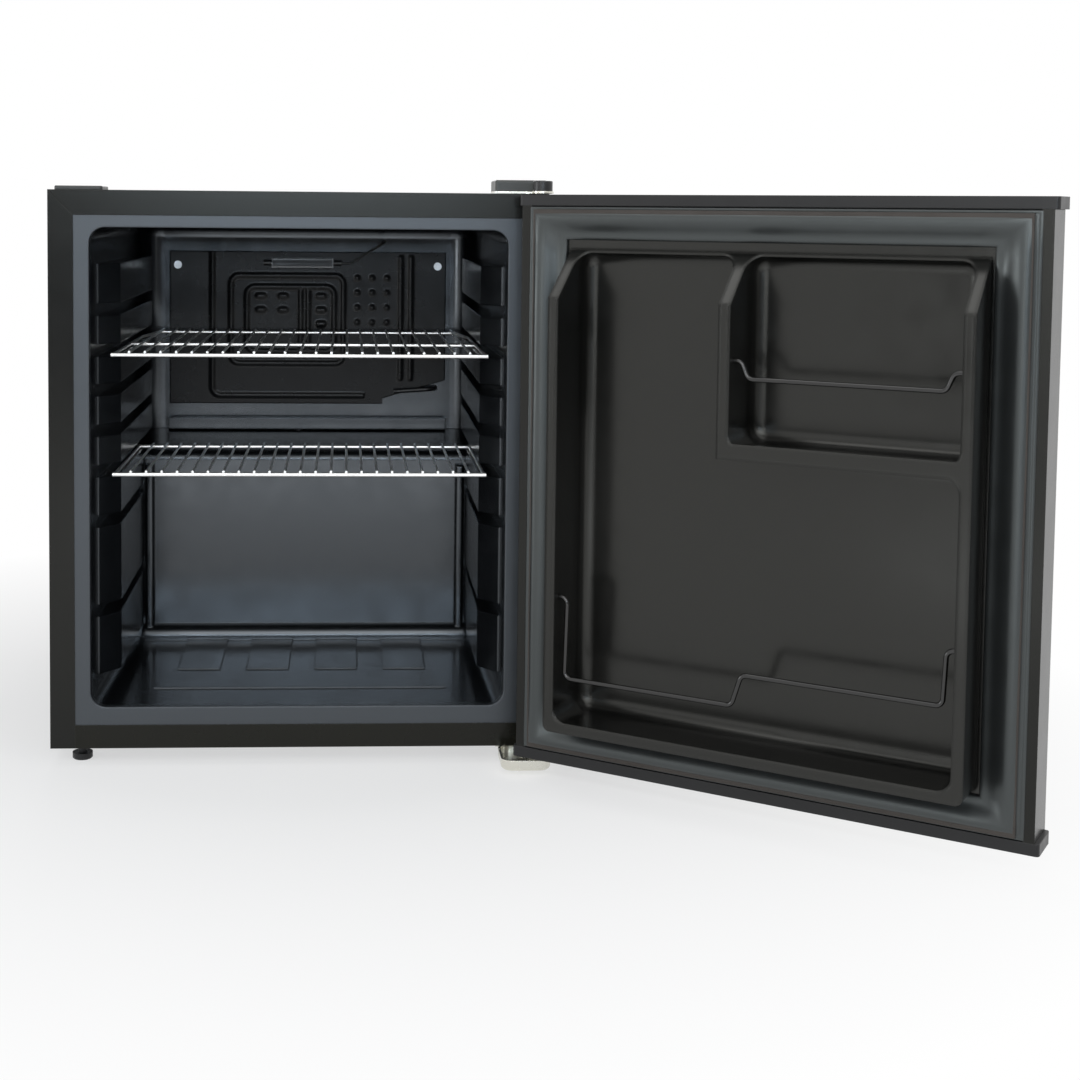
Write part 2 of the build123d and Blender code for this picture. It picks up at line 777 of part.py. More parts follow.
def grommet_places():
    dx, dy = grommet_spacing_x / 2, grommet_spacing_y / 2
    return [(compressor_x + sx * dx, niche_middle + sy * dy) for sx in (-1, 1) for sy in (-1, 1)]


def compressor():
    """Welded steel pot with its foot plate."""
    section = RectangleRounded(compressor_width, compressor_depth, compressor_depth * 0.46)
    pot = Pos(compressor_x, niche_middle, compressor_bottom) * extrude(section, amount=compressor_height)
    pot = fillet(pot.edges().group_by(Axis.Z)[-1], 26.0)
    pot = fillet(pot.edges().group_by(Axis.Z)[0], 12.0)
    dx, dy = grommet_spacing_x / 2 + 11.0, grommet_spacing_y / 2 + 11.0
    foot = block(compressor_x - dx, compressor_x + dx, niche_middle - dy, niche_middle + dy,
                 compressor_bottom - hinge_plate, compressor_bottom + 1.0)
    foot = fillet(edges_along(foot, Axis.Z), 8.0)
    seam_z = compressor_bottom + compressor_height * 0.55
    seam = RectangleRounded(compressor_width + 5.0, compressor_depth + 5.0, compressor_depth * 0.46)
    ring = Pos(compressor_x, niche_middle, seam_z) * extrude(seam, amount=4.0)
    body = pot + foot + ring
    for x, y in grommet_places():
        body -= rod_z(0, compressor_bottom + 14.0, x, y, grommet_bolt_diameter + 2.0)
    return body


def compressor_grommets():
    rings = []
    for x, y in grommet_places():
        ring = rod_z(plate_top, compressor_bottom - hinge_plate, x, y, grommet_diameter)
        rings.append(ring - rod_z(0, compressor_bottom, x, y, grommet_bolt_diameter + fit_gap))
    return rings


def compressor_bolts():
    bolts = []
    for x, y in grommet_places():
        bolt = rod_z(cabinet_bottom, compressor_bottom + 8.0, x, y, grommet_bolt_diameter)
        bolts.append(bolt + rod_z(cabinet_bottom - 4.0, cabinet_bottom, x, y, grommet_bolt_diameter + 5.0))
    return bolts


def relay_cover():
    x0 = compressor_x - compressor_width / 2 - 22.0
    x1 = compressor_x - compressor_width / 2 + 6.0
    z0 = compressor_bottom + 18.0
    cover = block(x0, x1, niche_middle - 24.0, niche_middle + 24.0, z0, z0 + 46.0)
    cover = fillet(edges_along(cover, Axis.X), 6.0)
    return cover - compressor()


def cord_gland():
    """Bush in the machine space where a mains lead would leave."""
    x, y = gland_place
    gland = rod_z(cabinet_bottom - 3.0, plate_top + 6.0, x, y, gland_diameter)
    gland += rod_z(plate_top, plate_top + 2.5, x, y, gland_diameter + 6.0)
    return gland - rod_z(0, plate_top + 20.0, x, y, gland_bore)


def drip_tray():
    """Shallow pan on the warm compressor, where the drained water dries off."""
    dx, dy = tray_width / 2, tray_depth / 2
    z0 = compressor_top
    body = block(compressor_x - dx, compressor_x + dx, niche_middle - dy, niche_middle + dy,
                 z0, z0 + tray_height)
    body = fillet(edges_along(body, Axis.Z), 8.0)
    w = tray_wall
    room = block(compressor_x - dx + w, compressor_x + dx - w, niche_middle - dy + w, niche_middle + dy - w,
                 z0 + w, z0 + tray_height + 1.0)
    return body - fillet(edges_along(room, Axis.Z), 8.0 - w)


def condenser_points():
    """Flat coil of tube, back and forth up the panel, turning down at both ends."""
    w = condenser_width / 2
    pitch = (condenser_top - condenser_bottom) / (condenser_rows - 1)
    points = [(w, condenser_y, coil_start), (w, condenser_y, condenser_bottom)]
    for row in range(condenser_rows):
        z = condenser_bottom + row * pitch
        side = -1 if row % 2 == 0 else 1
        last = drier_x if row == condenser_rows - 1 else w
        points.append((side * last, condenser_y, z))
        if row < condenser_rows - 1:
            points.append((side * w, condenser_y, z + pitch))
    points.append((-drier_x, condenser_y, coil_end))
    return points


def condenser_tube():
    return tube_path(condenser_points(), condenser_bend, condenser_tube_diameter)


def condenser_legs():
    """Straight tubes brazed to the ends of the coil, down into the machine space."""
    inlet = rod_z(condenser_inlet, coil_start, condenser_width / 2, condenser_y, condenser_tube_diameter)
    outlet = rod_z(drier_top, coil_end, -drier_x, condenser_y, condenser_tube_diameter)
    return [inlet, outlet]


def condenser_wires_group():
    wires = []
    y = condenser_y + (condenser_tube_diameter + condenser_wire_diameter) / 2 + running_clearance
    w = condenser_width / 2 - 14.0
    for index in range(condenser_wires):
        x = -w + 2 * w * index / (condenser_wires - 1)
        wires.append(rod_z(condenser_bottom - 8.0, condenser_top + 8.0, x, y, condenser_wire_diameter))
    return wires


def condenser_bracket_places():
    pitch = (condenser_top - condenser_bottom) / (condenser_rows - 1)
    rows = (condenser_bottom + pitch, condenser_top - pitch)
    return [(side * (condenser_width / 2 - 22.0), z) for side in (-1, 1) for z in rows]


def condenser_brackets():
    """Bent strips from the panel to the tube."""
    strips = []
    tube_front = condenser_y - condenser_tube_diameter / 2 - running_clearance
    for x, z in condenser_bracket_places():
        b = bracket_width / 2
        foot = block(x - b, x + b, panel_back, panel_back + bracket_thickness, z - 12.0, z + 6.0)
        stem = block(x - b, x + b, panel_back, tube_front, z - 1.0, z + 1.0)
        hole_z = z - bracket_screw_drop
        foot -= rod_y(panel_back - 1.0, panel_back + 3.0, x, hole_z, screw_shank_diameter + fit_gap)
        strips.append(foot + stem)
    return strips


def condenser_screws():
    screws = []
    for x, z in condenser_bracket_places():
        place = Pos(x, panel_back + bracket_thickness, z - bracket_screw_drop)
        screws.append(place * Rot(-90, 0, 0) * screw_down(0, 0, 0))
    return screws


def condenser_screw_holes():
    places = [(x, z - bracket_screw_drop) for x, z in condenser_bracket_places()] + back_screw_places()
    y0 = y_in(cabinet_depth - screw_shank_length - 2.0)
    return [rod_y(y0, panel_back + 1.0, x, z, screw_shank_diameter + fit_gap) for x, z in places]


def filter_drier():
    """Copper capsule under the end of the condenser tube."""
    capsule = rod_z(drier_top - drier_length, drier_top, -drier_x, condenser_y, drier_diameter)
    return fillet(capsule.edges(), drier_diameter * 0.35)


def liquid_tube():
    """Fine tube from the drier to the cold side, beside the suction tube."""
    x, y = -drier_x, condenser_y
    low = drier_top - drier_length
    turn = low - 16.0
    across = suction_wall_x - 30.0
    inside = y_in(cabinet_depth - 20.0)
    points = [(x, y, low), (x, y, turn), (across, y, turn), (across, inside, turn)]
    points.append((across, inside, niche_top - sheet - fit_gap))
    return tube_path(points, 6.0, capillary_diameter)


def discharge_tube():
    start = (compressor_x + compressor_width / 2 - 1.0, niche_middle - 12.0, compressor_bottom + 40.0)
    w = condenser_width / 2
    points = [start, (w, start[1], start[2]), (w, condenser_y, start[2])]
    points.append((w, condenser_y, condenser_inlet))
    return tube_path(points, 9.0, tube_diameter) - compressor()


def suction_tube():
    return suction_room(0.0) - compressor()


# Feet
def front_foot_places():
    return [(side * (half - foot_inset_x), y_in(foot_inset_depth)) for side in (-1, 1)]


def rear_foot_places():
    y = y_in(cabinet_depth - rear_foot_inset_depth)
    return [(side * (half - rear_foot_inset_x), y) for side in (-1, 1)]


def front_foot(side):
    """Screw-in levelling foot: round pad and stud."""
    x, y = front_foot_places()[0 if side < 0 else 1]
    pad = rod_z(0, foot_pad_height, x, y, foot_diameter)
    pad = chamfer(pad.edges().group_by(Axis.Z)[0], 1.2)
    return pad + rod_z(foot_pad_height - 1.0, pan_top + foot_stud_reach, x, y, foot_stud_diameter)


def foot_room(x, y):
    return rod_z(0, pan_top + foot_stud_reach + foot_lift + 1.0, x, y, foot_stud_diameter + 2 * fit_gap)


def rear_feet():
    feet = []
    for x, y in rear_foot_places():
        pad = rod_z(0, cabinet_bottom, x, y, rear_foot_diameter)
        pad = chamfer(pad.edges().group_by(Axis.Z)[0], 1.5)
        feet.append(pad + rod_z(cabinet_bottom - 1.0, plate_top + 3.0, x, y, foot_stud_diameter))
    return feet


# Hinge hardware on the cabinet
pin_x, pin_y = hinge_x, y_out(hinge_reach)


def top_screw_places():
    left, right = top_hinge_left + hinge_screw_inset, half - hinge_screw_inset
    near, far = y_in(hinge_screw_inset), y_in(top_hinge_rear - hinge_screw_inset)
    return [(left, near), (left, far), (right, far)]


def bottom_screw_places():
    return [(bottom_hinge_left + 7.0, y_in(12.0)), (bottom_hinge_left + 7.0, y_in(36.0))]


def top_hinge_bracket():
    """Steel plate on the cabinet top, with an ear over the door that carries the pin."""
    z0, z1 = cabinet_top, cabinet_top + hinge_plate
    plate = block(top_hinge_left, half - 2.0, y_in(0), y_in(top_hinge_rear), z0, z1)
    ear = block(pin_x - hinge_boss_radius, pin_x + hinge_boss_radius, pin_y, y_in(4.0), z0, z1)
    ear += rod_z(z0, z1, pin_x, pin_y, 2 * hinge_boss_radius)
    bracket = plate + ear
    bracket = bracket & block(0, half, pin_y - 40.0, y_in(80.0), z0 - 1.0, z1 + 1.0)
    bracket -= rod_z(z0 - 1.0, z1 + 1.0, pin_x, pin_y, hinge_pin_diameter)
    for x, y in top_screw_places():
        bracket -= screw_hole(x, y, z0 - 1.0, z1 + 1.0)
    return bracket


def top_hinge_pin():
    """Pin with a round head on the ear; it turns in the bush of the top end cap."""
    z1 = cabinet_top + hinge_plate
    pin = rod_z(door_top - hinge_pin_depth, z1, pin_x, pin_y, hinge_pin_diameter)
    head = rod_z(z1, z1 + top_cover_height - 1.0, pin_x, pin_y, 2 * hinge_boss_radius - 2.0)
    return pin + fillet(head.edges().group_by(Axis.Z)[-1], 1.0)


def top_hinge_screws():
    return [screw_down(x, y, cabinet_top + hinge_plate) for x, y in top_screw_places()]


def top_hinge_cover():
    """Moulded cap over the plate and its screws."""
    z0 = cabinet_top + hinge_plate
    z1 = z0 + top_cover_height
    x0, x1 = top_hinge_left, half - 2.0
    y0, y1 = y_in(0), y_in(top_hinge_rear)
    cap = block(x0, x1, y0, y1, z0, z1)
    cap = fillet(edges_along(cap, Axis.Z) + cap.edges().group_by(Axis.Z)[-1], 2.0)
    w = top_cover_wall
    return cap - block(x0 + w, x1 - w, y0 + w, y1 - w, z0 - 1.0, z1 - w)


def blank_cover():
    """Plate over the spare hinge holes at the left."""
    x0 = -half + blank_cover_inset
    y0, y1 = y_in(blank_cover_inset), y_in(blank_cover_inset + blank_cover_depth)
    cap = block(x0, x0 + blank_cover_width, y0, y1, cabinet_top, cabinet_top + blank_cover_height)
    cap = fillet(edges_along(cap, Axis.Z), 3.0)
    return fillet(cap.edges().group_by(Axis.Z)[-1], 1.2)


def bottom_hinge_bracket():
    """Pressed tray under the cabinet that reaches forward under the door."""
    z1 = cabinet_bottom
    z0 = z1 - hinge_plate
    r = bottom_hinge_radius
    plate = block(bottom_hinge_left, half - 4.0, y_in(4.0), y_in(bottom_hinge_rear), z0, z1)
    tray_z = z1 - bottom_hinge_lip - hinge_plate
    x0, x1 = bottom_hinge_left + 2.0, pin_x + r
    y0, y1 = pin_y - r, y_in(8.0)
    tray = block(x0, x1, y0, y1, tray_z, z1 - 1.0)
    tray = fillet(edges_along(tray, Axis.Z), r * 0.8)
    tray = fillet(tray.edges().group_by(Axis.Z)[0], 4.0)
    w = hinge_plate
    room = block(x0 + w, x1 - w, y0 + w, y1 - w, tray_z + w, z1 + 2.0)
    room = fillet(edges_along(room, Axis.Z), r * 0.8 - w)
    tray -= room
    bracket = tray + (plate - block(x0 + w, x1 - w, y0 + w, y1 - w, z0 - 1.0, z1 + 1.0))
    bracket -= rod_z(0, z1, pin_x, pin_y, hinge_pin_diameter)
    for x, y in front_foot_places():
        bracket -= rod_z(0, z1 + 1.0, x, y, foot_diameter + 2.0)
    for x, y in bottom_screw_places():
        bracket -= screw_hole(x, y, 0, z1 + 1.0)
    return bracket


def bottom_hinge_pin():
    """Pin riveted in the tray, with a collar that the door rests on."""
    tray_z = cabinet_bottom - bottom_hinge_lip - hinge_plate
    pin = rod_z(tray_z, door_bottom + hinge_pin_depth, pin_x, pin_y, hinge_pin_diameter)
    collar = rod_z(tray_z + hinge_plate, door_bottom - fit_gap, pin_x, pin_y, hinge_pin_diameter + 6.0)
    return pin + collar


def bottom_hinge_screws():
    screws = []
    for x, y in bottom_screw_places():
        screws.append(Pos(x, y, cabinet_bottom - hinge_plate) * Rot(180, 0, 0) * screw_down(0, 0, 0))
    return screws


# Door, built closed and then swung open about its hinge axis
body_bottom = door_bottom + cap_height
body_top = door_top - cap_height
skin_half = half - door_sheet
frame_inner = rib_half_width - rib_face
recess_bottom = rib_bottom + rib_face
recess_top = rib_slant_top - 3.0


def swing(shape):
    """Turns a piece of the closed door to where the open door has it."""
    axis = Axis((pin_x, pin_y, 0), (0, 0, 1))
    return shape.rotate(axis, open_angle)


def door_bay(x0, x1, z0, z1, shrink):
    """Hollow of one bay of the door liner, rounded in its corners and along its far edges."""
    room = block(x0 - shrink, x1 + shrink, y_out(door_panel_depth + shrink), y_in(rib_reach + 5.0),
                 z0 - shrink, z1 + shrink)
    room = fillet(edges_along(room, Axis.Y), door_recess_radius + shrink)
    return fillet(room.edges().group_by(Axis.Y)[0], door_floor_radius + shrink)


def rib_profile(shrink, x0, x1):
    """Side outline shared by the ribs of the door liner: sloping at the top, square at the foot."""
    base = y_out(gasket_base + shrink + 1.0)
    face = y_in(rib_reach - shrink)
    flange = y_out(gasket_base + shrink)
    slope = (rib_slant_top - rib_slant_bottom) / (gasket_base + rib_reach)
    drop = shrink * math.sqrt(1.0 + slope * slope) - shrink * slope
    outline = [(base, rib_bottom + shrink), (face, rib_bottom + shrink), (face, rib_slant_bottom - drop)]
    top = rib_slant_top - drop - shrink * slope
    outline += [(flange, top), (base, top)]
    return side_prism(outline, x0, x1)


def door_form(shrink):
    """Door filled up to its inner surface, drawn back by the given wall."""
    slab = block(-skin_half, skin_half, y_out(gasket_base + shrink), y_out(door_thickness - door_sheet),
                 body_bottom, body_top)
    h = rib_half_width - shrink
    frame = rib_profile(shrink, -h, h)
    frame = fillet(frame.edges().filter_by(Axis.Y).group_by(Axis.Z)[0], rib_foot_radius - shrink)
    divider_left = divider_x - divider_face / 2
    divider_right = divider_x + divider_face / 2
    tall_bay = door_bay(divider_right, frame_inner, recess_bottom, recess_top, shrink)
    low_bay = door_bay(-frame_inner, frame_inner, recess_bottom, door_shelf_bottom, shrink)
    high_bay = door_bay(-frame_inner, divider_left, door_shelf_top - door_shelf_lip, recess_top, shrink)
    lip = block(-half, divider_x, y_in(rib_reach - door_shelf_lip + shrink * 0.4), y_in(rib_reach + 6.0),
                0, door_shelf_top - shrink)
    form = slab + frame - tall_bay - low_bay - (high_bay - lip)
    for x0, x1, z in rail_holes():
        form -= rod_x(x0, x1, y_in(rail_depth), z, rail_diameter + 2 * (rail_hole_clearance + shrink))
    return form


def rail_holes():
    """Blind holes in the rib walls that hold the ends of the wire rails."""
    deep = 4.5
    return [
        (divider_x - divider_face / 2 - 1.0, divider_x - divider_face / 2 + deep, upper_rail_pivot),
        (-frame_inner - deep, -frame_inner + 1.0, upper_rail_pivot),
        (frame_inner - 1.0, frame_inner + deep, lower_rail_pivot),
        (-frame_inner - deep, -frame_inner + 1.0, lower_rail_pivot),
    ]


def door_liner():
    return door_form(0.0) - door_form(door_liner_wall)


def door_foam():
    return door_form(door_liner_wall)


def door_outer_panel():
    """Folded skin: face, two sides and a narrow lip round the edge of the liner."""
    y0, y1 = y_out(door_thickness), y_out(door_rim)
    body = block(-half, half, y0, y1, body_bottom, body_top)
    body -= block(-skin_half, skin_half, y0 + door_sheet, y1 - door_sheet, 0, door_top)
    lip_half = half - gasket_inset + 1.5
    return body - block(-lip_half, lip_half, y1 - 2.0, y1 + 1.0, 0, door_top)


def door_cap(z0, z1):
    """Moulded end cap that closes the folded skin, standing a little proud at both ends."""
    reach = half + cap_nub
    cap = block(-reach, reach, y_out(door_thickness), y_out(door_rim), z0, z1)
    return fillet(edges_along(cap, Axis.Z), 3.0)


def door_top_cap():
    cap = door_cap(body_top, door_top)
    return cap - rod_z(door_top - bush_depth, door_top + 1.0, pin_x, pin_y, bush_diameter)


def door_bottom_cap():
    cap = door_cap(door_bottom, body_bottom)
    return cap - rod_z(door_bottom - 1.0, door_bottom + bush_depth, pin_x, pin_y, bush_diameter)


def hinge_bushes():
    """Plastic sleeves in the end caps that the hinge pins turn in."""
    bushes = []
    for z0, z1 in ((door_top - bush_depth, door_top), (door_bottom, door_bottom + bush_depth)):
        sleeve = rod_z(z0, z1, pin_x, pin_y, bush_diameter)
        bore = hinge_pin_diameter + 2 * running_clearance
        bushes.append(sleeve - rod_z(z0 - 1.0, z1 + 1.0, pin_x, pin_y, bore))
    return bushes


def seal_heights(inset):
    """Lower and upper edge of the seal at an inset from the side of the door."""
    drop = inset - gasket_inset + fit_gap
    return body_bottom + drop, body_top - drop


def seal_ring(outer_inset, inner_inset, e0, e1):
    """Rectangular ring of the seal between two insets from the door's edge."""
    def plate(inset):
        z0, z1 = seal_heights(inset)
        return block(-half + inset, half - inset, y_out(e0), y_out(e1), z0, z1)
    z0, z1 = seal_heights(inner_inset)
    hole = block(-half + inner_inset, half - inner_inset, y_out(e0 - 1.0), y_out(e1 + 1.0), z0, z1)
    return plate(outer_inset) - hole


def door_gasket():
    """Soft ring with two grooves along its face and a channel for the magnets behind."""
    a, b = gasket_inset, gasket_inset + gasket_width
    ring = seal_ring(a, b, gasket_gap, gasket_base)
    ring -= seal_ring(a + magnet_width + 5.0, a + magnet_width + 7.5, gasket_gap - 1.0, gasket_gap + 3.5)
    ring -= seal_ring(a + magnet_width + 10.5, a + magnet_width + 13.0, gasket_gap - 1.0, gasket_gap + 5.0)
    channel = seal_ring(a + 2.5, a + 2.5 + magnet_width, gasket_gap + 1.7, gasket_base + 1.0)
    return ring - channel


def gasket_magnets():
    """Four flexible magnet strips in the seal."""
    inset = gasket_inset + 2.5
    e0, e1 = gasket_gap + 1.7, gasket_gap + 1.7 + magnet_depth
    w, m = half - inset, magnet_width
    z0, z1 = seal_heights(inset)
    strips = []
    for side in (-1, 1):
        x0, x1 = sorted((side * (w - fit_gap), side * (w - m + fit_gap)))
        strips.append(block(x0, x1, y_out(e1), y_out(e0), z0 + m, z1 - m))
    for low in (z0, z1 - m):
        strips.append(block(-w + fit_gap, w - fit_gap, y_out(e1), y_out(e0),
                            low + fit_gap, low + m - fit_gap))
    return strips


def rail_wire(points):
    return tube_path([(x, y_in(rail_depth), z) for x, z in points], rail_bend, rail_diameter)


rail_end = 3.5
rail_standoff = 6.0


def upper_bottle_rail():
    left, right = divider_x - divider_face / 2, -frame_inner
    p, low = upper_rail_pivot, upper_rail_low
    points = [(left + rail_end, p), (left - rail_standoff, p), (left - rail_standoff - 6.0, low)]
    points += [(right + rail_standoff + 8.0, low), (right + rail_standoff + 2.0, p), (right - rail_end, p)]
    return rail_wire(points)


def lower_bottle_rail():
    left, right = frame_inner, -frame_inner
    p, low, step = lower_rail_pivot, lower_rail_low, lower_rail_step
    points = [(left + rail_end, p), (left - rail_standoff - 2.0, p), (left - rail_standoff, low)]
    points += [(lower_rail_step_x + 8.0, low), (lower_rail_step_x, step)]
    points += [(right + rail_standoff + 4.0, step), (right + rail_standoff + 2.0, p), (right - rail_end, p)]
    return rail_wire(points)


# Every node and the piece or pieces that it holds
cabinet_nodes = {
    "outer_shell": outer_shell,
    "front_bottom_rail": front_bottom_rail,
    "base_pan": base_pan,
    "back_panel": back_panel,
    "back_panel_screws": back_panel_screws,
    "cabinet_liner": cabinet_liner,
    "cabinet_foam": cabinet_foam,
    "evaporator_plate": evaporator_plate,
    "evaporator_spacers": evaporator_spacers,
    "evaporator_screws": evaporator_screws,
    "thermostat_bulb_clip": bulb_clip,
    "thermostat_bulb": thermostat_bulb,
    "thermostat_body": thermostat_body,
    "thermostat_knob": thermostat_knob,
    "drip_gutter": drip_gutter,
    "drain_tube": drain_tube,
    "upper_shelf": upper_shelf,
    "lower_shelf": lower_shelf,
    "compressor_plate": compressor_plate,
    "compressor": compressor,
    "compressor_grommets": compressor_grommets,
    "compressor_bolts": compressor_bolts,
    "relay_cover": relay_cover,
    "cord_gland": cord_gland,
    "drip_tray": drip_tray,
    "condenser_tube": condenser_tube,
    "condenser_legs": condenser_legs,
    "condenser_wires": condenser_wires_group,
    "condenser_brackets": condenser_brackets,
    "condenser_screws": condenser_screws,
    "filter_drier": filter_drier,
    "liquid_tube": liquid_tube,
    "discharge_tube": discharge_tube,
    "suction_tube": suction_tube,
    "front_left_foot": lambda: front_foot(-1),
    "front_right_foot": lambda: front_foot(1),
    "rear_feet": rear_feet,
    "top_hinge_bracket": top_hinge_bracket,
    "top_hinge_pin": top_hinge_pin,
    "top_hinge_screws": top_hinge_screws,
    "top_hinge_cover": top_hinge_cover,
    "blank_cover": blank_cover,
    "bottom_hinge_bracket": bottom_hinge_bracket,
    "bottom_hinge_pin": bottom_hinge_pin,
    "bottom_hinge_screws": bottom_hinge_screws,
}
door_nodes = {
    "door_outer_panel": door_outer_panel,
    "door_top_cap": door_top_cap,
    "door_bottom_cap": door_bottom_cap,
    "door_liner": door_liner,
    "door_foam": door_foam,
    "door_gasket": door_gasket,
    "gasket_magnets": gasket_magnets,
    "hinge_bushes": hinge_bushes,
    "upper_bottle_rail": upper_bottle_rail,
    "lower_bottle_rail": lower_bottle_rail,
}


def solids_of(made):
    pieces = made if isinstance(made, list) else [made]
    return [solid for piece in pieces for solid in piece.solids()]


def write(name, solids):
    shape = solids[0] if len(solids) == 1 else Compound(children=solids)
    export_step(shape, os.path.join("parts", name + ".step"))


os.makedirs("parts", exist_ok=True)
for name, make in cabinet_nodes.items():
    write(name, solids_of(make()))
for name, make in door_nodes.items():
    write(name, [swing(solid) for solid in solids_of(make())])
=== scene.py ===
# %% [markdown]
# # A compact refrigerator with its door open
# The solids of the refrigerator come from CAD as a imported frame, one object for each piece.
# This lesson dresses that frame: a camera and soft studio light, a finish for every piece, and
# finer meshes for the few pieces whose surface is richer than a plain solid.

# %% Load the frame
import json
import math
import bpy
import bmesh
import numpy as np
from mathutils import Matrix, Vector


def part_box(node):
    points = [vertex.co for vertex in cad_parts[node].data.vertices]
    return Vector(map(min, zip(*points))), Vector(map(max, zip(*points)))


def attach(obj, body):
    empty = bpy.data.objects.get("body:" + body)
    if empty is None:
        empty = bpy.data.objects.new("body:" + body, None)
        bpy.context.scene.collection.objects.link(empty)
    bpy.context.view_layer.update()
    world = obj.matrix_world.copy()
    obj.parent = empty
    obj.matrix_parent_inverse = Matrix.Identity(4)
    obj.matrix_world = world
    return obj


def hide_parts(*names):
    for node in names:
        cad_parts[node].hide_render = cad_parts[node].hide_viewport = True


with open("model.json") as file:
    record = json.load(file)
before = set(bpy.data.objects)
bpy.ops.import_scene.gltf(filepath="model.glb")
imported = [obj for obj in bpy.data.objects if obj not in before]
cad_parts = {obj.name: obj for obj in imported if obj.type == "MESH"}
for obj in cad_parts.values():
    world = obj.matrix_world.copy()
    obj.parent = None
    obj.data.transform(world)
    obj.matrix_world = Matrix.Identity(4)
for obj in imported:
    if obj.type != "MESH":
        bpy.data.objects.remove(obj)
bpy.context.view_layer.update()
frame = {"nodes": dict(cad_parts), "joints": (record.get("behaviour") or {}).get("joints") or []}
nodes = frame["nodes"]
mm = 0.001

# %% [markdown]
# ## Camera
# The picture was taken from a little above the cabinet's top, turned a few degrees to the right,
# with a lens that keeps the upright edges nearly parallel. Three turns about the frame's own axes
# say that more plainly than a target point would, and a small lens shift sets the framing.

# %% Place the camera
camera_place = (0.0404, -1.7127, 0.4972)
camera_turns = (-2.90, -3.78, -0.52)
camera_sensor, camera_lens = 36.0, 57.1
camera_shift = (0.10, -0.20)

camera_data = bpy.data.cameras.new("camera")
camera_data.sensor_width = camera_sensor
camera_data.lens = camera_lens
camera_data.shift_x, camera_data.shift_y = camera_shift
camera = bpy.data.objects.new("camera", camera_data)
yaw, pitch, roll = (math.radians(turn) for turn in camera_turns)
looking = Matrix.Rotation(yaw, 3, "Z") @ Matrix.Rotation(pitch, 3, "X") @ Matrix.Rotation(roll, 3, "Y")
upright = Matrix.Rotation(math.radians(90.0), 3, "X")
camera.matrix_world = Matrix.Translation(camera_place) @ (looking @ upright).to_4x4()
bpy.context.collection.objects.link(camera)
bpy.context.scene.camera = camera
print("camera lens", camera_lens, "mm at", camera_place)

# %% [markdown]
# ## Floor
# The refrigerator stands on a large pale sheet that catches its shadow. Four points are all that a
# flat sheet needs.

# %% Lay the floor
floor_reach = 6.0


def flat_sheet(name, corners):
    """Object with a single face between four corners."""
    mesh = bpy.data.meshes.new(name)
    mesh.from_pydata(corners, [], [(0, 1, 2, 3)])
    sheet = bpy.data.objects.new(name, mesh)
    bpy.context.collection.objects.link(sheet)
    return sheet


floor_corners = [(-floor_reach, -floor_reach, 0.0), (floor_reach, -floor_reach, 0.0),
                 (floor_reach, floor_reach, 0.0), (-floor_reach, floor_reach, 0.0)]
floor = flat_sheet("floor", floor_corners)
print("floor", 2 * floor_reach, "metres wide")

# %% [markdown]
# ## Background
# A studio cut-out stands on plain white. The world is white wherever the camera, a reflection or a
# clear piece sees it, and much dimmer as a light, so that the black finishes stay deep. The Light
# Path node tells those rays apart, so one world does both jobs without any extra backdrop.

# %% Make the world white to the eye and dim as a light
world_light = 0.18
world_tint = (0.96, 0.98, 1.0, 1.0)
plain_white = (1.0, 1.0, 1.0, 1.0)


def node_tree(owner):
    """Empty node tree of a material or world, with its nodes and links."""
    owner.use_nodes = True
    owner.node_tree.nodes.clear()
    return owner.node_tree.nodes, owner.node_tree.links


def seen_directly(made, linked):
    """1 where a camera, glossy or transmission ray looks, and 0 for light that falls on things."""
    path = made.new("ShaderNodeLightPath")
    total = path.outputs["Is Camera Ray"]
    for ray in ("Is Glossy Ray", "Is Transmission Ray"):
        joined = made.new("ShaderNodeMath")
        joined.operation = "MAXIMUM"
        linked.new(total, joined.inputs[0])
        linked.new(path.outputs[ray], joined.inputs[1])
        total = joined.outputs[0]
    return total


def link_either(made, linked, share, first, second, output):
    """Blends two shaders by a share and sends the blend to the output."""
    either = made.new("ShaderNodeMixShader")
    linked.new(share, either.inputs[0])
    linked.new(first.outputs[0], either.inputs[1])
    linked.new(second.outputs[0], either.inputs[2])
    linked.new(either.outputs[0], output.inputs["Surface"])


bpy.context.scene.view_settings.view_transform = "Standard"
world = bpy.data.worlds.new("studio")
bpy.context.scene.world = world
made, linked = node_tree(world)
shown = made.new("ShaderNodeBackground")
shown.inputs["Color"].default_value = plain_white
lighting = made.new("ShaderNodeBackground")
lighting.inputs["Color"].default_value = world_tint
lighting.inputs["Strength"].default_value = world_light
link_either(made, linked, seen_directly(made, linked), lighting, shown, made.new("ShaderNodeOutputWorld"))
print("world light", world_light)

# %% [markdown]
# ## Soft panels
# Black gloss shows its shape by what it mirrors, so large flat lights stand round the object. The
# panel on the table lights the lower back wall, and the low one in front draws the sheen on the top
# of the opening. Two panels only fill: mirrored in the flat top they would look like white patches,
# so gloss doesn't show them.

# %% Hang the panels
middle = (0.1, 0.0, 0.27)
above_table = (-0.02, -1.6, 1.0)


def soft_panel(name, place, aim, size, power, colour, mirrored=True):
    """Flat area light that looks at a point; gloss shows it only where it is mirrored."""
    data = bpy.data.lights.new(name, "AREA")
    data.shape = "RECTANGLE"
    data.size, data.size_y = size
    data.energy = power
    data.color = colour
    lamp = bpy.data.objects.new(name, data)
    lamp.location = place
    lamp.rotation_mode = "QUATERNION"
    lamp.rotation_quaternion = (Vector(aim) - Vector(place)).to_track_quat("-Z", "Y")
    lamp.visible_glossy = mirrored
    bpy.context.collection.objects.link(lamp)
    return lamp


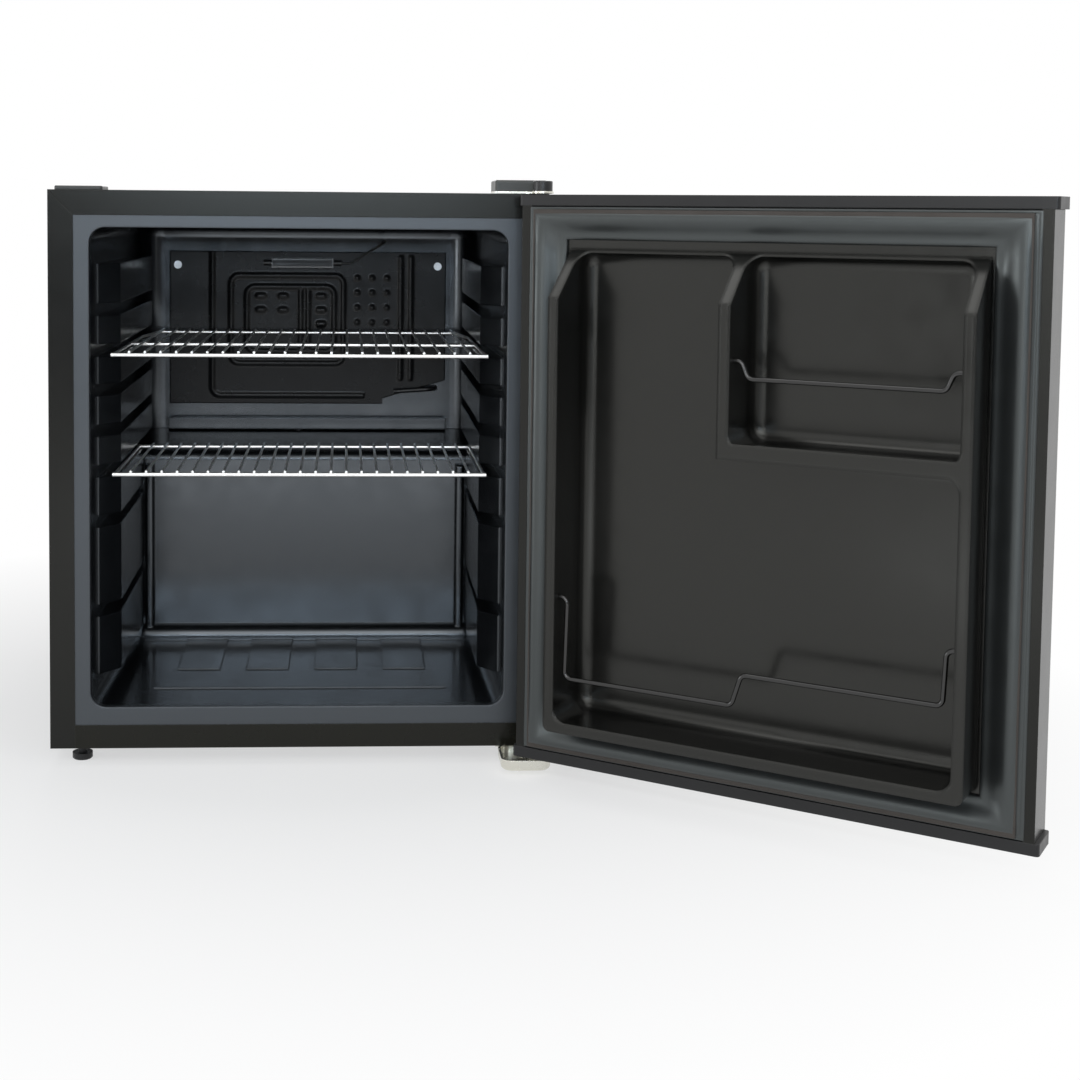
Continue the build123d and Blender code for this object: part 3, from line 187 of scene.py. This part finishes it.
panels = [
    soft_panel("panel_front", (-0.05, -2.6, 1.75), middle, (2.6, 1.3), 24.0, (0.95, 0.98, 1.0)),
    soft_panel("panel_low", (-0.05, -2.8, 0.71), middle, (0.9, 0.20), 6.8, (0.74, 0.87, 1.0)),
    soft_panel("panel_table", (-0.02, -1.6, 0.03), above_table, (0.62, 1.2), 2.6, (0.92, 0.96, 1.0)),
    soft_panel("panel_left", (-1.45, -2.9, 0.48), middle, (0.4, 0.76), 6.0, (0.97, 0.99, 1.0)),
    soft_panel("panel_edge", (-2.3, -0.5, 0.44), middle, (1.0, 0.76), 8.7, (0.95, 0.98, 1.0)),
    soft_panel("panel_fill", (-2.1, -1.6, 1.3), middle, (1.4, 1.0), 12.0, (0.96, 0.98, 1.0), mirrored=False),
    soft_panel("panel_right", (1.8, -2.4, 0.85), middle, (1.4, 1.5), 22.0, (0.92, 0.96, 1.0), mirrored=False),
    soft_panel("panel_back", (0.2, 2.4, 1.6), middle, (1.8, 1.0), 18.0, (1.0, 1.0, 1.0)),
    soft_panel("panel_top", (0.1, -0.3, 2.4), middle, (1.8, 1.4), 8.0, (1.0, 1.0, 1.0)),
]
print(len(panels), "soft panels,", sum(panel.data.energy for panel in panels), "watts together")

# %% [markdown]
# ## Black cloth
# Photographers hang a black cloth behind the camera to keep gloss dark where it faces the front.
# The sheet here does the same: reflections meet it instead of the white world. The camera doesn't
# see it and it throws no shadow, so it changes nothing else.

# %% Hang the cloth
cloth_side, cloth_place, cloth_foot, cloth_head = 2.4, -3.0, 0.02, 0.58
cloth_corners = [(-cloth_side, cloth_place, cloth_foot), (cloth_side, cloth_place, cloth_foot),
                 (cloth_side, cloth_place, cloth_head), (-cloth_side, cloth_place, cloth_head)]
black_cloth = flat_sheet("black_cloth", cloth_corners)
black_cloth.visible_camera = False
black_cloth.visible_shadow = False
print("black cloth up to", cloth_head, "metres")

# %% [markdown]
# ## Small helpers for finishes
# A finish is a chain of nodes. Three links come back in every chain: a noise, a change of range and
# a mix of two colours. Each gets a helper that returns the socket to go on from, so that the longer
# recipe below reads as a list of steps.

# %% Noise, range and mix
def link_noise(made, linked, place, scale, detail):
    """Noise with a number of waves per metre."""
    noise = made.new("ShaderNodeTexNoise")
    noise.inputs["Scale"].default_value = scale
    noise.inputs["Detail"].default_value = detail
    linked.new(place, noise.inputs["Vector"])
    return noise.outputs["Fac"]


def link_range(made, linked, value, low, high, from_low=0.3, from_high=0.7):
    """Value carried from one range to another; noise mostly stays between 0.3 and 0.7."""
    spread = made.new("ShaderNodeMapRange")
    spread.inputs["From Min"].default_value = from_low
    spread.inputs["From Max"].default_value = from_high
    spread.inputs["To Min"].default_value = low
    spread.inputs["To Max"].default_value = high
    linked.new(value, spread.inputs["Value"])
    return spread.outputs[0]


def link_mix(made, linked, amount, first, second):
    """Colour between two colours or colour sockets."""
    mix = made.new("ShaderNodeMix")
    mix.data_type = "RGBA"
    linked.new(amount, mix.inputs["Factor"])
    colour_sockets = mix.inputs[6], mix.inputs[7]
    for socket, value in zip(colour_sockets, (first, second)):
        if isinstance(value, tuple):
            socket.default_value = (*value, 1.0)
        else:
            linked.new(value, socket)
    return mix.outputs[2]


print("helpers for noise, range and mix")

# %% [markdown]
# ## Rubbed edges and a matt zone with painted sheen
# Hands and boxes rub the edges of a painted thing. A bevel node bends the normal near an edge, so
# the angle between its normal and the true one says how near the edge is. On the bulb clip the
# rubbed colour is near white and is a painted highlight. The matt zone is for sheet plastic that
# is stretched only in part: it is rougher and its paler colour is a painted sheen. It fades out
# with depth.

# %% Edge wear and matt front with painted sheen
rubbed_from, rubbed_to = 0.75, 1.0


def link_wear(made, linked, bevel, tint, wear, wear_colour):
    """Colour that turns to the wear colour at sharp edges."""
    geometry = made.new("ShaderNodeNewGeometry")
    facing = made.new("ShaderNodeVectorMath")
    facing.operation = "DOT_PRODUCT"
    linked.new(bevel.outputs[0], facing.inputs[0])
    linked.new(geometry.outputs["Normal"], facing.inputs[1])
    rubbed = link_range(made, linked, facing.outputs["Value"], wear, 0.0, rubbed_from, rubbed_to)
    return link_mix(made, linked, rubbed, tint, wear_colour)


def link_matt_and_sheen_zone(made, linked, place, tint, gloss, matt_and_sheen_front):
    """Roughness of a matt zone and its painted sheen colour, from a front Y to the Y where it has faded out.
    """
    # pale is the painted sheen colour that the zone blends in
    front, faded, duller_by, pale = matt_and_sheen_front
    apart = made.new("ShaderNodeSeparateXYZ")
    linked.new(place, apart.inputs[0])
    share = link_range(made, linked, apart.outputs["Y"], 1.0, 0.0, front, faded)
    duller = made.new("ShaderNodeMath")
    duller.operation = "MULTIPLY_ADD"
    duller.inputs[1].default_value = duller_by
    linked.new(share, duller.inputs[0])
    linked.new(gloss, duller.inputs[2])
    return link_mix(made, linked, share, tint, pale), duller.outputs[0]


print("wear is full where the cosine of the two normals is", rubbed_from)

# %% [markdown]
# ## How a finish is made
# No moulded or painted surface is one flat colour. A slow noise shifts the colour and a quicker one
# the gloss, a fine noise gives the grain of the mould or the peel of the paint as bump, and the
# bevel node rounds the look of every sharp edge by part of a millimetre, as a folded sheet or a
# moulded corner is. One recipe with named amounts serves every piece.

# %% One recipe for moulded, painted and plated finishes
edge_samples = 4
colour_waves, gloss_waves = 7.0, 45.0
bump_strength = 0.6


def surface_finish(name, colour, shade, rough, grain=(900.0, 0.03), metal=0.0, edge=0.6,
                   wear=0.0, wear_colour=(0.2, 0.2, 0.2), coat=0.0, specular=0.5,
                   gleam=(1.0, 1.0, 1.0), matt_and_sheen_front=None):
    """Material with slow colour and gloss changes, fine grain and softened edges.

    colour and shade are the two colours that the slow noise runs between, rough is the lowest and
    highest roughness, grain is the waves per metre and the depth of the bump in mm, and edge is the
    edge radius in mm. gleam tints the reflections. matt_and_sheen_front is what
    link_matt_and_sheen_zone asks for: a matt zone with a painted sheen colour.
    """
    material = bpy.data.materials.new(name)
    made, linked = node_tree(material)
    output = made.new("ShaderNodeOutputMaterial")
    shader = made.new("ShaderNodeBsdfPrincipled")
    shader.inputs["Metallic"].default_value = metal
    shader.inputs["Coat Weight"].default_value = coat
    shader.inputs["Specular IOR Level"].default_value = specular
    shader.inputs["Specular Tint"].default_value = (*gleam, 1.0)
    place = made.new("ShaderNodeTexCoord").outputs["Object"]
    slow = link_noise(made, linked, place, colour_waves, 3.0)
    tint = link_mix(made, linked, link_range(made, linked, slow, 0.0, 1.0), colour, shade)
    bevel = made.new("ShaderNodeBevel")
    bevel.samples = edge_samples
    bevel.inputs["Radius"].default_value = edge * mm
    if wear > 0.0:
        tint = link_wear(made, linked, bevel, tint, wear, wear_colour)
    gloss = link_range(made, linked, link_noise(made, linked, place, gloss_waves, 2.0), *rough)
    if matt_and_sheen_front:
        tint, gloss = link_matt_and_sheen_zone(made, linked, place, tint, gloss, matt_and_sheen_front)
    linked.new(tint, shader.inputs["Base Color"])
    linked.new(gloss, shader.inputs["Roughness"])
    grain_waves, grain_depth = grain
    bump = made.new("ShaderNodeBump")
    bump.inputs["Strength"].default_value = bump_strength
    bump.inputs["Distance"].default_value = grain_depth * mm
    linked.new(link_noise(made, linked, place, grain_waves, 2.0), bump.inputs["Height"])
    linked.new(bevel.outputs[0], bump.inputs["Normal"])
    linked.new(bump.outputs[0], shader.inputs["Normal"])
    linked.new(shader.outputs[0], output.inputs["Surface"])
    return material


def dress(material, *names):
    """Gives CAD pieces a finish."""
    for name in names:
        nodes[name].data.materials.clear()
        nodes[name].data.materials.append(material)
    print(material.name, "on", ", ".join(names))


print("recipe for finishes ready")

# %% [markdown]
# ## Paper and cloth
# The floor is diffuse paper, which shows the shadow, blended with plain white for what looks at it.
# Near the object the paper has about half a say, so the shadow stays, and further off white takes
# over, so the sheet has no visible end. The cloth is plain black weave.

# %% Finish the floor and the cloth
paper_colour = (0.93, 0.93, 0.93, 1.0)
weave_colour = (0.01, 0.01, 0.01, 1.0)
paper_near, paper_far, near_white = 0.30, 0.85, 0.55

floor_paper = bpy.data.materials.new("floor_paper")
made, linked = node_tree(floor_paper)
paper = made.new("ShaderNodeBsdfDiffuse")
paper.inputs["Color"].default_value = paper_colour
white = made.new("ShaderNodeEmission")
distance = made.new("ShaderNodeVectorMath")
distance.operation = "LENGTH"
linked.new(made.new("ShaderNodeTexCoord").outputs["Object"], distance.inputs[0])
far = link_range(made, linked, distance.outputs["Value"], near_white, 1.0, paper_near, paper_far)
shown = made.new("ShaderNodeMath")
shown.operation = "MULTIPLY"
linked.new(far, shown.inputs[0])
linked.new(seen_directly(made, linked), shown.inputs[1])
link_either(made, linked, shown.outputs[0], paper, white, made.new("ShaderNodeOutputMaterial"))
floor.data.materials.append(floor_paper)

cloth_black = bpy.data.materials.new("cloth_black")
made, linked = node_tree(cloth_black)
weave = made.new("ShaderNodeBsdfDiffuse")
weave.inputs["Color"].default_value = weave_colour
linked.new(weave.outputs[0], made.new("ShaderNodeOutputMaterial").inputs["Surface"])
black_cloth.data.materials.append(cloth_black)
print("paper turns white between", paper_near, "and", paper_far, "metres")

# %% [markdown]
# ## Cabinet and door skins
# The folded steel of the cabinet and the door is painted black, with the slight orange peel of
# sprayed enamel. The rail under the opening is a separate folded strip from another batch of
# paint, a little warmer. The end caps of the door are moulded in black plastic.

# %% Painted steel
black_enamel = surface_finish("black_enamel", (0.0042, 0.0044, 0.0046), (0.0056, 0.0056, 0.0058),
                              rough=(0.22, 0.245), grain=(420.0, 0.03), edge=0.9, wear=0.35,
                              wear_colour=(0.06, 0.06, 0.055), specular=0.32, gleam=(1.0, 1.0, 0.92))
dress(black_enamel, "outer_shell", "door_outer_panel")
rail_enamel = surface_finish("rail_enamel", (0.0070, 0.0068, 0.0042), (0.0085, 0.0082, 0.0052),
                             rough=(0.22, 0.30), grain=(420.0, 0.03), edge=0.8, wear=0.3,
                             wear_colour=(0.06, 0.06, 0.05), specular=0.26)
dress(rail_enamel, "front_bottom_rail")
cap_plastic = surface_finish("cap_plastic", (0.0055, 0.0055, 0.0060), (0.0075, 0.0075, 0.0080),
                             rough=(0.34, 0.44), edge=1.2, wear=0.3, wear_colour=(0.06, 0.06, 0.06),
                             specular=0.42)
dress(cap_plastic, "door_top_cap", "door_bottom_cap")

# %% [markdown]
# ## Liners
# The inside of the cabinet and of the door are each drawn from one warm sheet of plastic, so every
# edge is soft. Where the sheet is stretched deep into the mould it turns glossy. The flange round
# the opening is hardly stretched, so it keeps the matt face of the sheet; its paler grey is a
# painted sheen, for the light the flange catches at the front.

# %% Vacuum-formed plastic
opening_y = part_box("outer_shell")[0][1]
stretched_rough, flange_rough = (0.17, 0.23), 0.40
# The flange colour is a painted sheen: paler than the sheet, for the light it catches at the front
flange_sheen_colour = (0.017, 0.019, 0.022)
matt_flange_with_sheen = (opening_y + 1.0 * mm, opening_y + 12.0 * mm, flange_rough - stretched_rough[1], flange_sheen_colour)
cabinet_plastic = surface_finish("cabinet_plastic", (0.0034, 0.0038, 0.0044), (0.0044, 0.0048, 0.0055),
                                 rough=stretched_rough, grain=(1400.0, 0.006), edge=2.2, specular=1.0,
                                 gleam=(0.86, 0.93, 1.0), matt_and_sheen_front=matt_flange_with_sheen)
dress(cabinet_plastic, "cabinet_liner", "drip_gutter")
door_plastic = surface_finish("door_plastic", (0.0042, 0.0042, 0.0038), (0.0054, 0.0053, 0.0048),
                              rough=(0.18, 0.24), grain=(1400.0, 0.006), edge=4.2, specular=0.5,
                              gleam=(1.0, 1.0, 0.95))
dress(door_plastic, "door_liner")

# %% [markdown]
# ## Wire
# The shelves are welded from steel wire and chromed after welding, so they are bright all over. The
# bottle rails are the same wire under a dark bronze lacquer, which leaves only a thin gleam.

# %% Chrome and bronze lacquer
chrome_wire = surface_finish("chrome_wire", (0.94, 0.94, 0.92), (0.88, 0.88, 0.87), rough=(0.28, 0.36),
                             metal=1.0, grain=(900.0, 0.01), edge=0.3)
dress(chrome_wire, "upper_shelf", "lower_shelf")
bronze_lacquer = surface_finish("bronze_lacquer", (0.0030, 0.0026, 0.0020), (0.0024, 0.0022, 0.0018),
                                rough=(0.15, 0.21), grain=(700.0, 0.01), edge=0.3, coat=0.25, specular=0.6)
dress(bronze_lacquer, "upper_bottle_rail", "lower_bottle_rail")

# %% [markdown]
# ## Zinc
# The hinges are stamped steel with bright zinc and a faint yellow passivation. Screws have a duller
# zinc, and the sheets that close the machine space at the back are galvanised, with a broad grain.

# %% Hinges, screws and sheets
yellow_zinc = surface_finish("yellow_zinc", (0.80, 0.78, 0.68), (0.70, 0.70, 0.66), rough=(0.18, 0.30),
                             metal=1.0, grain=(500.0, 0.02), edge=0.8)
dress(yellow_zinc, "bottom_hinge_bracket", "bottom_hinge_pin", "top_hinge_bracket")
screw_zinc = surface_finish("screw_zinc", (0.58, 0.59, 0.60), (0.46, 0.47, 0.48), rough=(0.26, 0.40),
                            metal=1.0, grain=(600.0, 0.02), edge=0.4)
dress(screw_zinc, "evaporator_screws", "back_panel_screws", "condenser_screws", "top_hinge_screws",
      "bottom_hinge_screws", "compressor_bolts")
plated_sheet = surface_finish("plated_sheet", (0.36, 0.37, 0.38), (0.28, 0.29, 0.30), rough=(0.38, 0.55),
                              metal=0.9, grain=(160.0, 0.04), edge=0.5)
dress(plated_sheet, "base_pan", "back_panel", "compressor_plate")

# %% [markdown]
# ## Cooling circuit
# The short tubes in the machine space are bare copper, dulled by handling. The condenser and the
# suction tube are dipped in black lacquer, the compressor's pot is sprayed thicker and glossier,
# and the cold plate inside the compartment has a thin dark coat.

# %% Copper, lacquer and coats
copper_tube = surface_finish("copper_tube", (0.58, 0.27, 0.15), (0.40, 0.18, 0.10), rough=(0.26, 0.46),
                             metal=1.0, grain=(500.0, 0.02), edge=0.4)
dress(copper_tube, "filter_drier", "liquid_tube", "discharge_tube")
black_lacquer = surface_finish("black_lacquer", (0.008, 0.008, 0.009), (0.012, 0.012, 0.012),
                               rough=(0.28, 0.40), grain=(300.0, 0.05), edge=0.5, wear=0.3,
                               wear_colour=(0.08, 0.08, 0.08))
dress(black_lacquer, "condenser_tube", "condenser_legs", "condenser_wires", "condenser_brackets",
      "top_hinge_pin", "suction_tube", "thermostat_bulb")
pot_enamel = surface_finish("pot_enamel", (0.010, 0.010, 0.011), (0.015, 0.015, 0.016), rough=(0.18, 0.30),
                            grain=(250.0, 0.08), edge=1.0)
dress(pot_enamel, "compressor")
evaporator_coat = surface_finish("evaporator_coat", (0.0040, 0.0042, 0.0048), (0.0056, 0.0058, 0.0064),
                                 rough=(0.22, 0.30), grain=(350.0, 0.02), edge=0.6, specular=0.24)
dress(evaporator_coat, "evaporator_plate")

# %% [markdown]
# ## Small moulded parts
# Covers, feet, the thermostat, the drain and the tray are moulded plastic in near-blacks that
# differ a little from each other. The clip of the thermostat's bulb is clearer and thin, and the
# near-white colour on its edges is a painted highlight. The bushes in the hinges are pale nylon.

# %% Moulded plastic
cover_plastic = surface_finish("cover_plastic", (0.030, 0.032, 0.030), (0.038, 0.040, 0.037),
                               rough=(0.34, 0.44), edge=1.2)
dress(cover_plastic, "top_hinge_cover", "blank_cover")
dark_plastic = surface_finish("dark_plastic", (0.008, 0.008, 0.0085), (0.011, 0.011, 0.0115),
                              rough=(0.40, 0.52), edge=0.8, specular=0.42)
dress(dark_plastic, "thermostat_body", "evaporator_spacers", "drain_tube", "relay_cover", "drip_tray",
      "front_left_foot", "front_right_foot", "rear_feet")
knob_plastic = surface_finish("knob_plastic", (0.020, 0.020, 0.021), (0.027, 0.027, 0.028),
                              rough=(0.34, 0.46), edge=0.8, wear=0.4, wear_colour=(0.16, 0.16, 0.16))
dress(knob_plastic, "thermostat_knob")
# The near-white rubbed colour on the clip's edges is a painted highlight, not real wear
clip_plastic = surface_finish("clip_plastic", (0.060, 0.063, 0.067), (0.075, 0.079, 0.083),
                              rough=(0.08, 0.14), edge=2.6, wear=1.0, wear_colour=(0.88, 0.90, 0.92),
                              coat=0.6, specular=0.8)
dress(clip_plastic, "thermostat_bulb_clip")
bush_plastic = surface_finish("bush_plastic", (0.62, 0.62, 0.58), (0.54, 0.54, 0.50), rough=(0.36, 0.46),
                              edge=0.5)
dress(bush_plastic, "hinge_bushes")

# %% [markdown]
# ## Soft parts
# The seal is smooth vinyl with a broad sheen, and the grommets are dull rubber. The magnets and the
# foam are hidden in the finished refrigerator, but they get their own look for whoever takes it apart.

# %% Vinyl, rubber, magnets and foam
soft_rubber = surface_finish("soft_rubber", (0.012, 0.012, 0.013), (0.018, 0.018, 0.018), rough=(0.60, 0.74),
                             grain=(1100.0, 0.04), edge=0.8)
dress(soft_rubber, "compressor_grommets", "cord_gland")
seal_vinyl = surface_finish("seal_vinyl", (0.0120, 0.0130, 0.0132), (0.0150, 0.0160, 0.0162),
                            rough=(0.32, 0.40), grain=(1200.0, 0.008), edge=0.8, specular=0.85,
                            gleam=(0.92, 1.0, 1.0))
dress(seal_vinyl, "door_gasket")
magnet_strip = surface_finish("magnet_strip", (0.030, 0.024, 0.020), (0.040, 0.033, 0.028), rough=(0.6, 0.7))
dress(magnet_strip, "gasket_magnets")
blown_foam = surface_finish("blown_foam", (0.72, 0.60, 0.32), (0.62, 0.50, 0.26), rough=(0.75, 0.9),
                            grain=(300.0, 0.4))
dress(blown_foam, "cabinet_foam", "door_foam")

# %% [markdown]
# ## From points to a piece
# Two pieces get a finer mesh than their plain solid. Points and faces worked out by formula give
# full control, so the helper only turns them into an object, makes the faces look outwards, shades
# them smooth and lets the object ride on the body that carries it.

# %% Helper for new pieces
def new_piece(name, points, faces, material, body):
    """Mesh object from points in metres, with a finish, that rides on a body."""
    mesh = bpy.data.meshes.new(name)
    mesh.from_pydata([tuple(map(float, point)) for point in points], [], faces)
    mesh.validate()
    shape = bmesh.new()
    shape.from_mesh(mesh)
    bmesh.ops.recalc_face_normals(shape, faces=shape.faces)
    shape.to_mesh(mesh)
    shape.free()
    mesh.polygons.foreach_set("use_smooth", [True] * len(mesh.polygons))
    mesh.materials.append(material)
    piece = bpy.data.objects.new(name, mesh)
    bpy.context.collection.objects.link(piece)
    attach(piece, body)
    print(name, "has", len(faces), "faces")
    return piece


# %% [markdown]
# ## The door seal
# The seal is an extruded vinyl strip, mitred and welded at the corners. Its section has a thin lip
# outside, a broad crown that holds the magnets, and a long slope down to the lip on the liner. A few
# points say that, and cutting their corners twice turns them into a smooth curve.

# %% Section of the seal
seal_section = [(0.0, 0.0), (0.0, 2.8), (0.6, 5.6), (1.8, 6.4), (3.2, 6.0), (4.4, 6.8), (5.4, 9.2),
                (6.9, 10.9), (9.4, 11.6), (12.4, 11.2), (15.0, 10.0), (17.4, 8.4), (19.6, 6.7),
                (21.8, 5.3), (24.0, 4.6), (26.3, 4.2), (27.9, 3.2), (28.5, 1.4), (28.5, 0.0)]
near_share, far_share = 0.75, 0.25


def rounded(points, rounds):
    """Cuts the corners of an open line of points, which turns it into a smooth curve."""
    line = np.array(points, dtype=float)
    for _ in range(rounds):
        near = line[:-1] * near_share + line[1:] * far_share
        far = line[:-1] * far_share + line[1:] * near_share
        inner = np.empty((2 * len(near), line.shape[1]))
        inner[0::2], inner[1::2] = near, far
        line = np.vstack([line[:1], inner[1:-1], line[-1:]])
    return line


seal_curve = rounded(seal_section, 2) * mm
print("seal section with", len(seal_curve), "points")

# %% [markdown]
# ## Sweeping the seal
# The strip runs round the four sides of the shut door and is then swung open with it. Sweeping the
# section by hand gives clean mitres, which a curve with a bevel would not. It also lets the strip
# wander a little between its corners, as soft vinyl does, and sink at the welds.

# %% Stations round the door
cabinet_low, cabinet_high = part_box("outer_shell")
half_width, front_y = cabinet_high[0], cabinet_low[1]
seal_low, seal_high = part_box("door_gasket")[0][2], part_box("door_gasket")[1][2]
seal_inset, seal_base = 7.0 * mm, 12.0 * mm
side_stretch = 1.24
weld_reach, weld_sink = 24.0 * mm, 0.35 * mm
station_gap = 22.0 * mm


def seal_corner(inset, index):
    """Corner of the ring at an inset, in the closed door's plane: X and Z."""
    x = half_width - seal_inset - inset * side_stretch
    below, above = seal_low + inset, seal_high - inset
    return [(-x, below), (x, below), (x, above), (-x, above)][index]


def seal_stations():
    """Places along the ring: side, share of the side's length and how far the section sinks."""
    places = []
    for side in range(4):
        length = (half_width - seal_inset) * 2 if side % 2 == 0 else seal_high - seal_low
        places.append((side, 0.0, weld_sink))
        count = max(2, round(length / station_gap))
        for share in np.linspace(weld_reach / length, 1.0 - weld_reach / length, count):
            places.append((side, float(share), 0.0))
    return places


stations = seal_stations()
print(len(stations), "stations round the seal")

# %% Sweep the seal round the door
hinge = next(joint for joint in frame["joints"] if joint["name"] == "door_hinge")
hinge_place = Vector((hinge["pos_m"][0], hinge["pos_m"][1], 0.0))
open_turn = Matrix.Rotation(math.radians(-hinge["range_deg"][0]), 4, "Z")
swing_open = Matrix.Translation(hinge_place) @ open_turn @ Matrix.Translation(-hinge_place)
print("the door stands open by", -hinge["range_deg"][0], "degrees")

wander, side_phase, wander_rate = 0.15 * mm, 1.9, 23.0
wander_from, wander_to, crown_limit = 3.0 * mm, 11.5 * mm, 11.7 * mm
seal_points = []
for side, share, sink in stations:
    drift = math.sin(side * side_phase + share * wander_rate) * wander
    for inset, rise in seal_curve:
        start, end = seal_corner(inset, side), seal_corner(inset, (side + 1) % 4)
        x = start[0] + (end[0] - start[0]) * share
        z = start[1] + (end[1] - start[1]) * share
        lift = max(rise - sink, 0.0) + (drift if wander_from < rise < wander_to else 0.0)
        seal_points.append(swing_open @ Vector((x, front_y - seal_base + min(lift, crown_limit), z)))
count = len(seal_curve)
seal_faces = []
for index in range(len(stations)):
    here, there = index * count, (index + 1) % len(stations) * count
    for step in range(count):
        after = (step + 1) % count
        seal_faces.append((here + step, there + step, there + after, here + after))
seal = new_piece("door_seal", seal_points, seal_faces, seal_vinyl, "door")
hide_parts("door_gasket")

# %% [markdown]
# ## The cold plate
# Two sheets of aluminium are rolled together with the pattern of the channels printed between them,
# and then blown up, so the channels stand out of the plate as soft ridges. The pattern is made of
# closed loops with round corners, two uprights, a field of dots and a few short pills.

# %% Pattern of the channels
plate_low, plate_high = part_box("evaporator_plate")
channel_rise, channel_half = 1.4 * mm, 4.2 * mm
dot_reach, pill_reach, pill_half = 4.6 * mm, 5.0 * mm, 2.6 * mm
corner_round = 9.0 * mm
notch_x, notch_step, notch_rise = 81.0 * mm, 6.0 * mm, 26.0 * mm
low_run, top_run = plate_low[2] + 9.0 * mm, plate_high[2] - 6.0 * mm
upright_foot = plate_low[2] + notch_rise + 2.0 * mm

outer_loop = (-83.0 * mm, 38.0 * mm, 331.0 * mm, 426.0 * mm)
inner_loop = (-66.0 * mm, 28.0 * mm, 344.0 * mm, 414.0 * mm)
narrow_loop = (-8.0 * mm, 0.0, 344.0 * mm, 414.0 * mm)
bottom_loop = (-103.0 * mm, 70.0 * mm, low_run, top_run + 60.0 * mm)
loops = [outer_loop, inner_loop, narrow_loop]
uprights = [(x * mm, upright_foot, x * mm, top_run) for x in (100.0, 111.0)]
dots = [(x * mm, (424.0 - 16.0 * row) * mm) for x in (53.0, 69.0, 85.0) for row in range(4)]
pills = [(x * mm, z * mm) for x in (-51.0, -27.0, 14.0) for z in (404.0, 389.0)] + [(14.0 * mm, 374.0 * mm)]
print(len(loops) + 1, "loops,", len(uprights), "uprights,", len(dots), "dots and", len(pills), "pills")

# %% [markdown]
# ## Ridges from distances
# A blown channel is highest on its line and falls off softly to both sides. So the height of a point
# depends only on its distance from the nearest line, and each kind of line needs one formula.

# %% Distances from the channel lines
def run_distance(x, z, run):
    """Distance of points from a straight run."""
    x0, z0, x1, z1 = run
    along = ((x - x0) * (x1 - x0) + (z - z0) * (z1 - z0)) / ((x1 - x0) ** 2 + (z1 - z0) ** 2)
    along = np.clip(along, 0.0, 1.0)
    return np.hypot(x - x0 - along * (x1 - x0), z - z0 - along * (z1 - z0))


def loop_distance(x, z, loop):
    """Distance of points from a closed loop with rounded corners."""
    left, right, below, above = loop
    turn = min(corner_round, (right - left) / 2, (above - below) / 2)
    out_x = np.abs(x - (left + right) / 2) - (right - left) / 2 + turn
    out_z = np.abs(z - (below + above) / 2) - (above - below) / 2 + turn
    outside = np.hypot(np.maximum(out_x, 0.0), np.maximum(out_z, 0.0))
    inside = np.minimum(np.maximum(out_x, out_z), 0.0)
    return np.abs(outside + inside - turn)


def blown(distance, reach):
    """Soft ridge: full height on the line and none at the reach."""
    return 0.5 + 0.5 * np.cos(np.pi * np.clip(distance / reach, 0.0, 1.0))


print("a ridge is", blown(0.5, 1.0), "of its height halfway down its side")

# %% [markdown]
# ## Blowing the plate
# A fine grid covers the front of the plate, and every point is pushed out by its ridge height. Boxes
# or a bump texture would not give that blown look in a mesh. The lower right corner of the plate is
# cut away, so the foot of the grid follows the notch there.

# %% Height of every grid point
plate_columns, plate_levels = 250, 140
notch_gap = 0.01 * mm
even_columns = np.linspace(plate_low[0], plate_high[0], plate_columns)
columns = np.sort(np.append(even_columns, [notch_x, notch_x + notch_gap]))
notch_share = (columns - notch_x) / (plate_high[0] - notch_x)
notch_foot = plate_low[2] + notch_step + (notch_rise - notch_step) * notch_share
foot = np.where(columns <= notch_x, plate_low[2], notch_foot)
levels = np.linspace(0.0, 1.0, plate_levels)
grid_x = np.repeat(columns[:, None], plate_levels, axis=1)
grid_z = foot[:, None] + (plate_high[2] - foot[:, None]) * levels[None, :]

in_bottom_loop = grid_x < bottom_loop[1] - corner_round
bottom = np.where(in_bottom_loop, loop_distance(grid_x, grid_z, bottom_loop), channel_half)
ridges = [blown(bottom, channel_half)]
ridges += [blown(loop_distance(grid_x, grid_z, loop), channel_half) for loop in loops]
ridges += [blown(run_distance(grid_x, grid_z, run), channel_half) for run in uprights]
ridges += [blown(np.hypot(grid_x - x, grid_z - z), dot_reach) for x, z in dots]
for x, z in pills:
    pill = (x - pill_half, z, x + pill_half, z)
    ridges.append(blown(run_distance(grid_x, grid_z, pill), pill_reach))
height = np.max(ridges, axis=0)
grid_y = plate_low[1] + channel_rise - height * channel_rise
print("ridges stand", round(float(height.max()) * channel_rise / mm, 2), "mm out of the plate")

# %% [markdown]
# ## Closing the plate
# The grid alone is a thin skin. A flat back with two points for every column, and a strip of faces
# along each edge, close it to a solid that can replace the plain one.

# %% Faces of the cold plate
last = len(columns) - 1
plate_points = list(np.stack([grid_x, grid_y, grid_z], axis=2).reshape(-1, 3))
behind = len(plate_points)
for x, z in zip(columns, foot):
    plate_points += [(x, plate_high[1], z), (x, plate_high[1], plate_high[2])]

plate_faces = []
for i in range(last):
    here, there = i * plate_levels, (i + 1) * plate_levels
    for j in range(plate_levels - 1):
        plate_faces.append((here + j, there + j, there + j + 1, here + j + 1))
    low_here, low_there = behind + 2 * i, behind + 2 * (i + 1)
    top_here, top_there = here + plate_levels - 1, there + plate_levels - 1
    plate_faces.append((low_here, low_there, low_there + 1, low_here + 1))
    plate_faces.append((here, there, low_there, low_here))
    plate_faces.append((top_here, top_there, low_there + 1, low_here + 1))
for column in (0, last):
    edge_points = tuple(column * plate_levels + j for j in range(plate_levels))
    plate_faces.append(edge_points + (behind + 2 * column + 1, behind + 2 * column))
cold_plate = new_piece("cold_plate", plate_points, plate_faces, evaporator_coat, "cabinet")
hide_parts("evaporator_plate")
